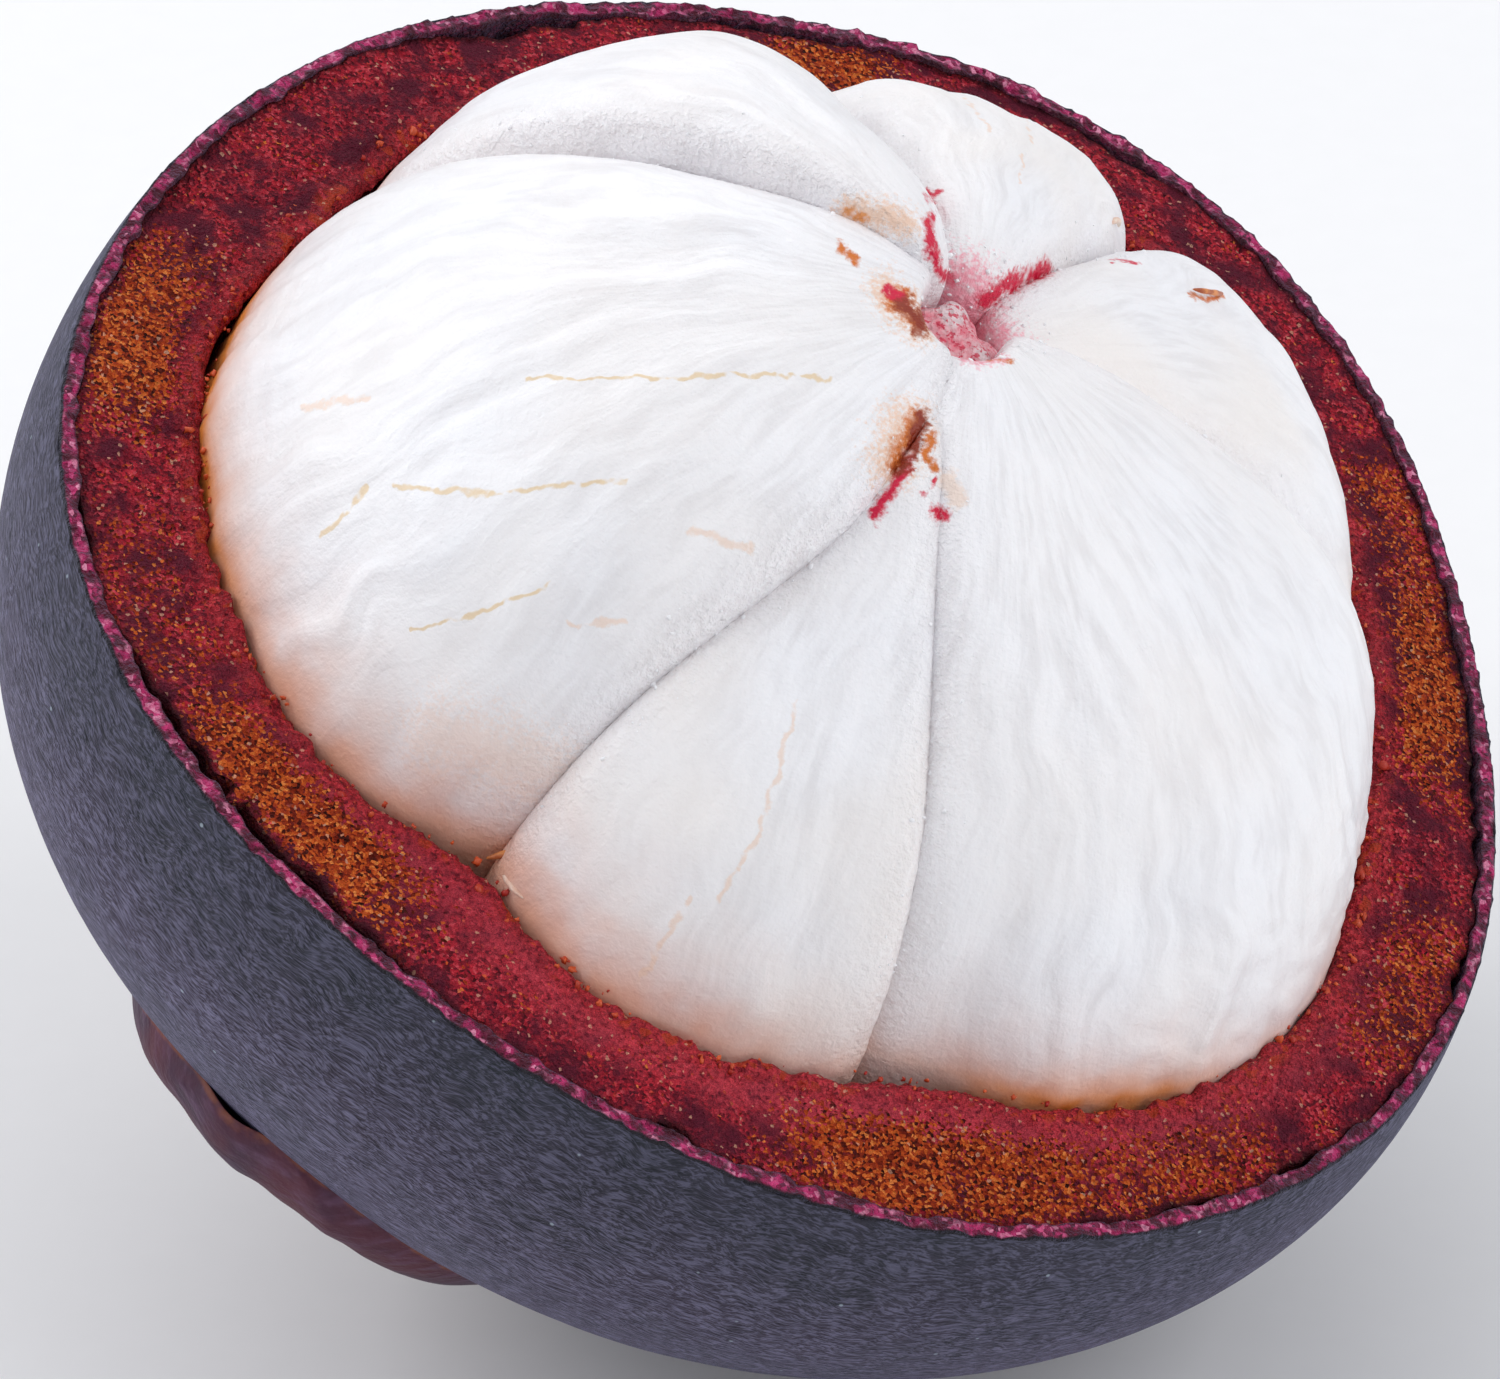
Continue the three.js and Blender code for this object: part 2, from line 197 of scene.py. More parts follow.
def ease(value, low, high):
    """Smooth step: 0 below `low`, 1 above `high` and 3t² - 2t³ between them."""
    t = np.clip((value - low) / (high - low), 0, 1)
    return t * t * (3 - 2 * t)


def noise(at, cell, seed=0):
    """Smooth noise from -1 to 1: random values at the corners of cubes `cell` wide, blended."""
    at = np.asarray(at, float) / cell
    corner = np.floor(at).astype(np.int64)
    t = ease(at - corner, 0, 1)
    total = 0
    for step in np.ndindex(2, 2, 2):
        i, j, k = np.moveaxis(corner + step, -1, 0)
        mixed = (i * 374761393 + j * 668265263 + k * 1440662683 + seed * 974634777) & 0xFFFFFFFF
        mixed = ((mixed ^ (mixed >> 13)) * 1274126177) & 0xFFFFFFFF
        share = np.prod(np.where(step, t, 1 - t), axis=-1)
        total = total + share * ((mixed ^ (mixed >> 16)) & 0xFFFF) / 0xFFFF
    return 2 * total - 1


def layered(at, name):
    """Sum of the layers of noise of one relief."""
    return sum(high * noise(at, size, seed) for high, size, seed in LAYERS[name])


def turn_away(azimuth, place):
    """Degrees between an azimuth in radians and a place in degrees, the short way round."""
    return np.degrees(np.abs(np.angle(np.exp(1j * (azimuth - np.radians(place))))))


def patches(azimuth, places):
    """Highest of several windows round the fruit: strength times exp(-(away / half length)⁴)."""
    return np.max([s * np.exp(-((turn_away(azimuth, a) / half) ** 4)) for a, half, s in places], 0)


def heading(degrees):
    """Cosine and sine of an angle in degrees."""
    return np.cos(np.radians(degrees)), np.sin(np.radians(degrees))


def full_turn(count):
    """Azimuths all the way round, the last one short of the first."""
    return np.linspace(0, 2 * np.pi, count, endpoint=False)


def shares(count):
    """A column of rising shares: the first is above 0, the last is 1."""
    return np.linspace(0, 1, count + 1)[1:, None]


def on_ring(radius, azimuth, height):
    """Points from radius, azimuth and height."""
    radius, azimuth, height = np.broadcast_arrays(radius, azimuth, height)
    return np.stack([radius * np.cos(azimuth), radius * np.sin(azimuth), height], -1)


def stack_parts(azimuth, *parts):
    """One turned body from parts of (radius, height) rows: radius, height, points, rows of each part."""
    parts = [np.broadcast_arrays(*part) for part in parts]
    radius, height = (np.concatenate([part[k] for part in parts]) for k in (0, 1))
    part_of_row = np.repeat(np.arange(len(parts)), [len(part[0]) for part in parts])[:, None]
    rows_of = [np.where(part_of_row == k, 1.0, 0.0) for k in range(len(parts))]
    return radius, height, on_ring(radius, azimuth, height), rows_of


def set_down(points):
    """From millimetres in the fruit's frame to metres in the part's, nothing below the floor."""
    placed = points @ np.array(LEAN).T * MM + np.array(FRUIT_CENTRE)
    placed[..., 2] = np.maximum(placed[..., 2], 0)
    return placed


def closed_grid(rows, around):
    """Faces of a closed body whose first and last row are one point each: quads and end fans."""
    i = np.arange(around)
    j = (i + 1) % around
    ring = 1 + np.arange(rows - 2)[:, None] * around
    a, b = (ring[:-1] + i).ravel(), (ring[:-1] + j).ravel()
    quads = np.stack([a, b, b + around, a + around], -1)
    last = 1 + (rows - 1) * around - around
    first_fan = np.stack([0 * i, 1 + j, 1 + i], -1)
    last_fan = np.stack([0 * i + last, last - around + i, last - around + j], -1)
    return quads, np.concatenate([first_fan, last_fan])


def make_piece(name, points, quads, triangles, material, slot, nodes=(), marks=None):
    """Mesh piece from points in metres and faces, with its marks as point attributes."""
    mesh = bpy.data.meshes.new(name)
    mesh.vertices.add(len(points))
    mesh.vertices.foreach_set("co", points.astype(np.float32).ravel())
    corners = np.concatenate([quads.ravel(), triangles.ravel()])
    sizes = np.concatenate([np.full(len(quads), 4), np.full(len(triangles), 3)])
    mesh.loops.add(len(corners))
    mesh.loops.foreach_set("vertex_index", corners.astype(np.int32))
    mesh.polygons.add(len(sizes))
    mesh.polygons.foreach_set("loop_start", (np.cumsum(sizes) - sizes).astype(np.int32))
    mesh.update(calc_edges=True)
    mesh.shade_smooth()
    for key, values in (marks or {}).items():
        kind, field = ("FLOAT", "value") if values.ndim == 1 else ("FLOAT_VECTOR", "vector")
        attribute = mesh.attributes.new(key, kind, "POINT")
        attribute.data.foreach_set(field, values.astype(np.float32).ravel())
    mesh.materials.append(material)
    piece = bpy.data.objects.new(name, mesh)
    bpy.context.scene.collection.objects.link(piece)
    if nodes:
        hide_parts(*nodes)
    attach(piece, "root")
    return piece


def make_body(name, rows, material, slot, nodes=(), marks=None):
    """Closed piece from rows of points, first row to last; the end rows shrink to one point."""
    def poles(values):
        ends = values[0].mean(0, keepdims=True), values[-1].mean(0, keepdims=True)
        return np.concatenate([ends[0], values[1:-1].reshape(-1, *values.shape[2:]), ends[1]])

    quads, triangles = closed_grid(*rows.shape[:2])
    marks = {key: poles(values) for key, values in (marks or {}).items()}
    points = set_down(poles(rows))
    return make_piece(name, points, quads, triangles, material, slot, nodes, marks)


# Shape of the fruit


def outline_wave(azimuth):
    """Slow waves of the outline: sum of height · cos(n · (azimuth - crest))."""
    return sum(high * np.cos(n * (azimuth - np.radians(crest))) for n, high, crest in RIM_WAVES)


def wall_wave(azimuth):
    """The outline's waves less a bell-shaped ridge at each place of the inner wall."""
    ridges = (high * np.exp(-((turn_away(azimuth, at) / wide) ** 2)) for at, high, wide in WALL_RIDGES)
    return outline_wave(azimuth) - sum(ridges)


def drift_at(height):
    """Sideways drift of the outside toward the calyx."""
    return CALYX_DRIFT * np.clip(-height / FRUIT_POLE, 0, 1)


def outer_point(azimuth, angle, inset=0):
    """Outside of the rind at an angle from the calyx pole, moved in square to it: radius, height."""
    radius = (FRUIT_RADIUS + outline_wave(azimuth) * np.sin(angle) ** 2) * np.sin(angle)
    radius = radius * (1 - BELLY * np.sin(2 * angle) ** 2)
    height = -FRUIT_POLE * np.cos(angle)
    out, up = FRUIT_POLE * np.sin(angle), -FRUIT_RADIUS * np.cos(angle)
    return radius - inset * out / np.hypot(out, up), height - inset * up / np.hypot(out, up)


def wall_radius(azimuth, height):
    """Inner wall of the rind at a height: an ellipse whose waves fade toward its pole."""
    reach = np.where(height < 0, CAVITY_POLE, CAVITY_CROWN)
    level = np.sqrt(np.maximum(1 - (height / reach) ** 2, 0))
    return (FRUIT_RADIUS - RIND_THICK + wall_wave(azimuth) * level**2) * level


def on_rim(azimuth):
    """Places along the rim, for noise with no seam."""
    return on_ring(FRUIT_RADIUS, azimuth, 0)


def band_width(azimuth):
    """Width of the broken edge of the skin, a little ragged."""
    return BAND_WIDTH + layered(on_rim(azimuth), "band_width")


def split_width(azimuth):
    """Width of the dark split behind the skin, with crumbs that bridge it here and there."""
    ragged = 1 + layered(on_rim(azimuth), "split_width")
    bridged = ease(noise(on_rim(azimuth), 1.3, 23), -0.85, -0.6)
    return patches(azimuth, SPLITS) * ragged * bridged


# Points round the skin, and rows of each part of it.
SKIN_AROUND = 880
SKIN_ROWS = dict(outside=52, edge=5, band=16, inside=10, wall=10)


def make_skin(material):
    """Skin with its broken edge: up the outside, over the crumbly band, down behind it and back.

    The wall behind it runs parallel to the outside. The band is raised by layered noise.
    """
    azimuth = full_turn(SKIN_AROUND)[None, :]
    rim_angle = np.arccos(-(CUT_HEIGHT - SKIN_ROUND) / FRUIT_POLE)
    rim_radius = outer_point(azimuth, rim_angle)[0]
    width = band_width(azimuth)

    climb = np.linspace(0, 1, SKIN_ROWS["outside"])[:, None]
    outside = outer_point(azimuth, rim_angle * (1 - (1 - climb) ** 1.25))
    quarter = shares(SKIN_ROWS["edge"]) * np.pi / 2
    edge = (rim_radius - SKIN_ROUND * (1 - np.cos(quarter)),
            CUT_HEIGHT - SKIN_ROUND * (1 - np.sin(quarter)))
    inward = shares(SKIN_ROWS["band"])
    band = (rim_radius - SKIN_ROUND - (width - SKIN_ROUND) * inward, CUT_HEIGHT)
    drop = shares(SKIN_ROWS["inside"])
    inside = (rim_radius - width, CUT_HEIGHT - SKIN_DEEP * drop)
    low_angle = np.arccos(-(CUT_HEIGHT - SKIN_DEEP) / FRUIT_POLE)
    wall = outer_point(azimuth, low_angle * (1 - shares(SKIN_ROWS["wall"])), SKIN_THICK * 0.6)
    radius, height, plain, rows_of = stack_parts(azimuth, outside, edge, band, inside, wall)
    on_outside, on_edge, on_band, on_inside, _ = rows_of

    crumbs = layered(plain, "skin_edge")
    height = height + (on_edge + on_band) * (0.32 * crumbs + 0.02)
    radius = radius - on_inside * 0.16 * crumbs * np.exp(-(CUT_HEIGHT - height))
    dents = layered(plain, "skin_dents")
    radius = radius + on_outside * dents * np.sin(np.pi * np.clip(radius / FRUIT_RADIUS, 0, 1))

    rows = on_ring(radius, azimuth, height)
    rows[..., 0] += drift_at(height)
    depth = np.clip((rim_radius - radius) / width, 0, 1)
    arc = np.arccos(np.clip(-height / FRUIT_POLE, -1, 1)) * FRUIT_RADIUS
    marks = {"band": 1 - on_outside + 0 * radius, "depth": depth, "rim": ease(height, -6, CUT_HEIGHT)}
    for key, sway, start in (("fibre", 0, 0), ("fibre_left", 4.6, 0.0), ("fibre_right", -4.6, 1.1)):
        marks[key] = on_ring(0.34 * FRUIT_RADIUS, azimuth, arc + sway * np.sin(4 * azimuth + start))
    return make_body("rind_skin", rows, material, "rind", ["rind"], marks)


# Points round the flesh, and rows of each part of it.
FLESH_AROUND = 1000
FLESH_ROWS = dict(outside=8, split=9, face=46, edge=8, wall=18)


def make_flesh(material):
    """Thick flesh of the rind: up behind the skin, across the grainy cut face and down the hollow.

    The face falls back from the skin at the splits, and its inner edge is a ragged quarter round.
    """
    azimuth = full_turn(FLESH_AROUND)[None, :]
    rim_angle = np.arccos(-CUT_HEIGHT / FRUIT_POLE)
    rim_radius = outer_point(azimuth, rim_angle)[0]
    split = split_width(azimuth)
    outer_edge = rim_radius - band_width(azimuth) + 0.06 - split
    touch = 1 - patches(azimuth, OPEN_GAPS)
    ragged = 0.5 + layered(on_rim(azimuth), "flesh_lip")
    inner_edge = wall_radius(azimuth, CUT_HEIGHT) - 0.32 * touch * np.clip(ragged, 0, 1)
    inner_edge = inner_edge - patches(azimuth, FLESH_LIPS)

    climb = np.linspace(0, 1, FLESH_ROWS["outside"])[:, None]
    low_angle = np.arccos(-(CUT_HEIGHT - SKIN_DEEP) / FRUIT_POLE)
    outside = outer_point(azimuth, low_angle * climb, SKIN_THICK * 0.8)
    rise = shares(FLESH_ROWS["split"])
    low_radius = outer_point(azimuth, low_angle, SKIN_THICK * 0.8)[0]
    split_side = (low_radius + (outer_edge - low_radius) * np.sqrt(rise),
                  CUT_HEIGHT - FLESH_SUNK - SKIN_DEEP * (1 - rise))
    across = shares(FLESH_ROWS["face"])
    face = (outer_edge + (inner_edge + EDGE_ROUND - outer_edge) * across,
            CUT_HEIGHT - FLESH_SUNK * (1 - across) ** 2)
    quarter = shares(FLESH_ROWS["edge"]) * np.pi / 2
    edge = (inner_edge + EDGE_ROUND * (1 - np.sin(quarter)),
            CUT_HEIGHT - EDGE_ROUND * (1 - np.cos(quarter)))
    fall = shares(FLESH_ROWS["wall"])
    top = np.arcsin((CUT_HEIGHT - EDGE_ROUND) / CAVITY_POLE)
    wall_height = CAVITY_POLE * np.sin(top - (top + np.pi / 2) * fall**1.5)
    lip = (wall_radius(azimuth, CUT_HEIGHT) - inner_edge) * np.exp(-fall * 9)
    wall = (wall_radius(azimuth, wall_height) - lip, wall_height)

    radius, height, plain, rows_of = stack_parts(azimuth, outside, split_side, face, edge, wall)
    on_outside, on_split, on_face, on_edge, on_wall = rows_of

    depth = ease(CUT_HEIGHT - height, 0, 3)
    inner = ease(radius - inner_edge, 2.0, 0.2) * (on_face + on_edge + on_wall)
    grain = layered(plain, "flesh_grain")
    chips = np.maximum(noise(plain, 0.8, 54) - 0.35, 0) * inner
    height = height + (on_face + on_edge) * (0.14 * grain + 0.16 * noise(plain, 3.5, 55) + 0.35 * chips)
    radius = radius + on_split * (1 - depth) * 0.16 * grain
    radius = radius - (on_edge + on_wall) * (1 - depth) * touch * (0.12 * grain + 0.25 * chips)

    rows = on_ring(radius, azimuth, height)
    across_face = (radius - inner_edge) / (outer_edge - inner_edge)
    band = ease(across_face, 0.15, 0.5) * (1 - 0.75 * ease(across_face, 0.85, 1.0))
    marks = {
        "brown": patches(azimuth, BROWN_PATCHES) * np.clip(band * (1 + 0.35 * noise(plain, 4, 56)), 0, 1),
        "inner": inner,
        # how far down the hollow the flesh lies, where the finish paints shade
        "depth": depth,
        # where the finish paints a rosy light on the cut face
        "lit": patches(azimuth, PAINTED_LIGHT_PLACES) * ease(across_face, 0.75, 0.2),
        # where the finish paints shade on the flesh beside the splits and down their sides
        "split": ease(across_face, 0.9, 1.02) * (on_outside + on_split + on_face),
    }
    return make_body("rind_flesh", rows, material, "rind", ["rind"], marks)


def rounded_max(a, b, curve):
    """The larger of two distances, with the corner between them rounded over."""
    return np.maximum(a, b) + np.maximum(curve - np.abs(a - b), 0) ** 2 / (4 * curve)


def groove_side(name, x, y):
    """Distance to one side of a groove, which may bow: positive on the far side of it."""
    gx, gy, azimuth = GROOVES[name]
    cos, sin = heading(azimuth)
    out = (x - gx) * cos + (y - gy) * sin
    bow = GROOVE_BOW * ease(out, 0, 5) * ease(out, 16, 5) if name == "a" else 0
    return -(x - gx) * sin + (y - gy) * cos - bow


def segment_distance(segment, at):
    """How far points lie outside a segment.

    A flattened ball under the crest, cut by the planes of its grooves and by its inner face, each
    corner rounded over.
    """
    from_side, to_side, mid, _, bulge, short, top, inner, inner_round = segment
    x, y, z = np.moveaxis(at, -1, 0)
    mx, my = heading(mid)
    joined = any(name in "ab" for name, _ in from_side + to_side)
    away = np.hypot(x - JOINED_AT[0], y - JOINED_AT[1]) / JOINED_REACH
    crest = top + joined * (JOINED_TOP - top) * np.exp(-(away**2))
    height = np.where(z > 0, crest, CAVITY_POLE - SEGMENT_GAP)
    taper = np.sqrt(np.maximum(1 - (z / height) ** 2, 0))
    wall = FRUIT_RADIUS + wall_wave(np.arctan2(y, x)) * taper**2 - RIND_THICK - SEGMENT_GAP
    reach = wall - bulge - short
    shift = bulge * np.where(z > 0, 1, taper)
    level = np.hypot(x - shift * mx, y - shift * my) / reach
    distance = (np.hypot(level, z / height) - 1) * reach
    # The corners are sharper near the axis, most of all at the front.
    shallow = 1 - (0.6 + 0.2 * ease(-y, 0, 4)) * ease(np.hypot(x, y), 12, 4)
    for side, grooves in ((-1, from_side), (1, to_side)):
        for name, rounding in grooves:
            plane = GROOVE_GAP + side * groove_side(name, x, y)
            distance = rounded_max(distance, plane, rounding * shallow)
    distance = rounded_max(distance, inner - (x * mx + y * my), inner_round)
    return rounded_max(distance, RECESS_RADIUS - np.hypot(x - RECESS_AT[0], y - RECESS_AT[1]), 0.9)


def fan_place(at):
    """Place in the pattern of ridges: they fan out from the axis and wander a little."""
    azimuth = np.arctan2(at[..., 1], at[..., 0]) + layered(at, "fan_wander")
    return on_ring(18, azimuth, np.hypot(at[..., 0], at[..., 1]) * 0.13)


def pulp_relief(at, crease):
    """Relief of a segment: ridges that fan out from the crest, swellings, wrinkles at the rim.

    A ridge is noise plus a crest of 0.5 - √(n² + 0.01), where n is noise along the fan.
    """
    x, y, z = np.moveaxis(at, -1, 0)
    radius = np.hypot(x, y)
    fan = fan_place(at)
    spread = ease(radius, 4, 12)
    ridges = noise(fan, 1.5, 61) + 0.5 - np.sqrt(noise(fan, 1.1, 69) ** 2 + 0.01)
    threads = noise(fan, 0.6, 62)
    swell = layered(at, "pulp_swell")
    edge = ease(radius, 19.5, 24.5) * ease(z, -3, 4)
    wrinkles = noise(on_ring(24, np.arctan2(y, x) + z / 24, z * 1.6), 0.8, 65)
    smooth = 1 - 0.8 * crease
    edge = edge * patches(np.arctan2(y, x), WRINKLED_PLACES)
    fanned = spread * (RIDGES * ridges + THREADS * threads)
    soft = fanned + SWELL * swell + WRINKLES * edge * wrinkles
    return smooth * soft + SUGAR * crease * layered(at, "pulp_sugar")


def steps_along(line):
    """Start and step of each straight part of a mark's line, flattened along the line of sight."""
    line = flattened(np.array(line))
    return zip(line[:-1], np.diff(line, axis=0))


def near_marks(at, marks):
    """1 close to the line of any mark, seen along the line of sight, falling to 0 around it."""
    near = np.full(at.shape[:-1], np.inf)
    flat = flattened(at)
    for _, width, line in marks:
        for start, step in steps_along(line):
            share = np.clip((flat - start) @ step / (step @ step), 0, 1)
            away = np.linalg.norm(flat - start - share[..., None] * step, axis=-1)
            near = np.minimum(near, away - 1.6 * width)
    return ease(near, 1.4, 0.7)


def flattened(at):
    """Points with most of their distance along the line of sight taken out."""
    return at - MARK_FLATTEN * (at @ SIGHT)[..., None] * SIGHT


# Lines along and across a segment: the two large ones, and the others.
PULP_FINE = (270, 200)
PULP_PLAIN = (184, 134)
# Longest ray from a segment's middle, and how often it is halved to find the surface.
RAY_REACH = 40.0
HALVINGS = 24


def make_segment(name, material):
    """One white segment: lines from side to side over it, found along rays from its middle.

    The lines crowd toward the crest: turn = t + 0.5·cos t. Gives back its points and its crease.
    """
    segment = SEGMENTS[name]
    around, across = PULP_FINE if name in ("front_left", "front_right") else PULP_PLAIN
    hub = segment[3]
    cos, sin = heading(segment[2])
    turn = full_turn(around)[None, :]
    turn = turn + 0.5 * np.cos(turn)
    angle = np.linspace(0, np.pi, across)[:, None]
    out, side = np.sin(angle) * np.cos(turn), np.cos(angle) + 0 * turn
    forward, left = np.array([cos, sin, 0]), np.array([-sin, cos, 0])
    up = (np.sin(angle) * np.sin(turn))[..., None] * np.array([0, 0, 1])
    ray = out[..., None] * forward + side[..., None] * left + up
    near, far = np.zeros(out.shape), np.full(out.shape, RAY_REACH)
    for _ in range(HALVINGS):
        middle = (near + far) / 2
        within = segment_distance(segment, hub * forward + middle[..., None] * ray) < 0
        near, far = np.where(within, middle, near), np.where(within, far, middle)
    at = hub * forward + near[..., None] * ray

    x, y, z = np.moveaxis(at, -1, 0)
    sides = [np.abs(groove_side(key, x, y)) for key, _ in segment[0] + segment[1]]
    crease = np.exp(-np.maximum(np.min(sides, 0) - GROOVE_GAP, 0) / 0.7)
    rows = at + pulp_relief(at, crease)[..., None] * ray
    azimuth = np.arctan2(y, x)
    gap = wall_radius(azimuth, z) - np.hypot(x, y)
    above = np.maximum(z - CUT_HEIGHT, 0)
    marks = {
        "crease": crease,
        "fan": fan_place(at),
        "rimward": np.exp(-above / 3.2) * ease(gap, 7, 0.5) * (0.4 + 0.6 * patches(azimuth, PEACH_PLACES)),
        # where the finish paints an orange glow on the pulp next to the flesh
        "glow": np.exp(-above / 0.9) * (0.25 + 0.75 * patches(azimuth, PAINTED_GLOW_PLACES)),
        # how far the pulp lies below the cut, where the finish paints shade
        "sunk": ease(CUT_HEIGHT - z, 0.2, 3),
        "marked": near_marks(rows, MARKS[name]),
    }
    make_body("pulp_" + name, rows, material, "aril", ["aril_" + name], marks)
    return rows, crease


def make_core(material):
    """Core tissue: a thin column that flares into a torn, crumbly tip between the segments."""
    turn = full_turn(120)[None, :]
    v = np.linspace(0, 1, 100)[:, None]
    height = CORE_FOOT + (CORE_TIP - 0.6 - CORE_FOOT) * (1 - (1 - v) ** 1.6)
    flare = 1.7 * ease(height, 12, 16)
    end = np.sqrt(np.maximum(1 - np.abs(2 * v - 1) ** 8, 0))
    radius = (CORE_RADIUS + flare) * end + 0 * turn
    torn = layered(on_ring(radius, turn, height), "core_torn")
    rows = on_ring(radius * (1 + 0.2 * torn), turn, height + 0.35 * torn * ease(height, 14.5, 17) * end)
    lean = ease(rows[..., 2], 11, 17)[..., None]
    rows[..., :2] += np.array(CORE_AT) * (1 - lean) + np.array(RECESS_AT) * lean
    return make_body("core_tissue", rows, material, "core", ["core"], {"torn": ease(torn, -1, 1)})


def body_point(x, y):
    """Point on the outside of the fruit under a plan position, and the way out of it."""
    radius = np.hypot(x, y)
    wave = outline_wave(np.arctan2(y, x)) * (radius / FRUIT_RADIUS) ** 2
    height = -FRUIT_POLE * np.sqrt(1 - (radius / (FRUIT_RADIUS + wave)) ** 2)
    out = np.stack([x / FRUIT_RADIUS**2, y / FRUIT_RADIUS**2, height / FRUIT_POLE**2], -1)
    point = np.stack([x + drift_at(height), y, height], -1)
    return point, out / np.linalg.norm(out, axis=-1, keepdims=True)


def make_sepal(name, material):
    """A thick round sepal close along the body: a thin margin and a bulging outer face.

    Thickness is (SEPAL_THICK + lift) · (1 - (1 - t)²), t rising from 0 at the margin to 1 inside.
    """
    azimuth, end, half_width, lift_middle, lift_end = SEPALS[name]
    cos, sin = heading(azimuth)
    u = np.linspace(0, 1, 144, endpoint=False)[None, :]
    v = np.linspace(0, 1, 84)[:, None]
    along = (1 - np.cos(np.pi * v)) / 2 + 0 * u
    width = half_width * np.sqrt(np.maximum((1 - (1 - along) ** 2) * (1 - along**6), 0))
    across, through = np.cos(2 * np.pi * u), -np.sin(2 * np.pi * u)
    px, py = SEPAL_START + (end - SEPAL_START) * along, width * across
    plan = np.stack([px * cos - py * sin, px * sin + py * cos, 0 * px], -1)
    point, out = body_point(plan[..., 0], plan[..., 1])
    lift = lift_middle * np.sin(np.pi * along) + lift_end * along**2
    inside = np.clip(np.minimum((width - np.abs(py)) / 2.6, (end - px) / 2.0), 0, 1)
    waves = layered(plan, "sepal_waves")
    ribs = 0.05 * noise(np.stack([py, px * 0.12, 0 * px], -1), 0.8, 83)
    thick = 0.3 + (SEPAL_THICK - 0.3 + lift) * (1 - (1 - inside) ** 2) + (waves + ribs) * (0.3 + 0.7 * inside)
    clear = -0.45 + 0.5 * np.exp(-(((py + 1) / 1.5) ** 2)) * ease(along, 0.8, 1)
    outer = (1 + np.sign(through) * np.abs(through) ** 0.6) / 2 * np.minimum(1, 6 * np.sin(np.pi * v))
    rows = point + (clear + thick * outer)[..., None] * out
    marks = {"margin": 1 - inside, "ribs": np.stack([py * 0.2, px, 0 * px], -1)}
    return make_body("calyx_" + name, rows, material, "calyx", ["sepal_" + name], marks)


def make_stem(material):
    """Woody stub: a turned profile with slow lobes, bark ridges and a cut end."""
    start = -FRUIT_POLE - FIT_GAP
    corners = np.array([
        (0, start), (2.2, start), (2.75, start - 0.5), (2.5, start - 1.6), (2.35, start - 2.6),
        (2.6, start - 3.6), (STEM_RADIUS, STEM_END + 1.5), (STEM_RADIUS, STEM_END + 0.5),
        (2.4, STEM_END), (1.2, STEM_END + 0.15), (0, STEM_END + 0.3),
    ])[::-1]
    reach = np.concatenate([[0], np.cumsum(np.linalg.norm(np.diff(corners, axis=0), axis=1))])
    wanted = np.linspace(0, reach[-1], 84)
    radius, height = (np.interp(wanted, reach, corners[:, k])[:, None] for k in (0, 1))
    turn = full_turn(120)[None, :]
    at = on_ring(radius * (1 + 0.04 * np.cos(4 * turn)), turn, height)
    bark = noise(at * (1, 1, 0.25), 0.5, 91) + 0.6 * noise(at, 0.4, 92)
    rows = at * (1 + 0.03 * bark)[..., None] * (1, 1, 0) + at * (0, 0, 1)
    rows[..., 0] += CALYX_DRIFT
    cut = ease(-height, -STEM_END - 0.6, -STEM_END - 0.1) + 0 * turn
    return make_body("stem_stub", rows, material, "stem", ["stem"], {"cut": cut})


def make_strand(name, thick, line, material):
    """Loose fibre: a tube along the polynomial through its points, thin at both ends."""
    line = np.array(line)
    t = np.linspace(0, 1, 26)
    powers = np.polyfit(np.linspace(0, 1, len(line)), line, len(line) - 1)
    centre = sum(np.outer(t ** (len(line) - 1 - k), power) for k, power in enumerate(powers))
    along = np.gradient(centre, axis=0)
    side = np.cross(along, (0, 0, 1))
    side /= np.linalg.norm(side, axis=1, keepdims=True)
    upward = np.cross(side, along)
    upward /= np.linalg.norm(upward, axis=1, keepdims=True)
    turn = full_turn(9)[:, None]
    radius = thick * np.sqrt(np.sin(np.pi * np.clip(t, 0.001, 0.999))) * (1 + 0.3 * noise(centre, 0.5, 95))
    ring = np.cos(turn) * side[:, None] + np.sin(turn) * upward[:, None]
    rows = centre[:, None] + radius[:, None, None] * ring
    return make_body(name, rows, material, "aril")


def make_crumbs(name, spots, sizes, seed, material, slot):
    """Small uneven lumps at given places, each of a few dozen faces, with a random tone."""
    chance = np.random.default_rng(seed)
    quads, triangles = closed_grid(5, 6)
    rise, turn = np.meshgrid(np.linspace(0, np.pi, 5), full_turn(6), indexing="ij")
    ball = on_ring(np.sin(rise), turn, -np.cos(rise))
    ball = np.concatenate([ball[:1, 0], ball[1:-1].reshape(-1, 3), ball[-1:, 0]])
    uneven = chance.uniform(0.45, 1.45, (len(spots), len(ball), 1))
    stretch = chance.uniform(0.5, 1.6, (len(spots), 1, 3))
    points = spots[:, None] + sizes[:, None, None] * uneven * stretch * ball
    first = np.arange(len(spots))[:, None, None] * len(ball)
    marks = {"tone": np.repeat(chance.uniform(0, 1, len(spots)), len(ball))}
    faces = [(first + part).reshape(-1, part.shape[1]) for part in (quads, triangles)]
    return make_piece(name, set_down(points.reshape(-1, 3)), *faces, material, slot, (), marks)


RIM_CRUMBS = 420
# Sugar crumbs of each segment: along its grooves, and near the core.
GROOVE_SUGAR = 170
CORE_SUGAR = 40


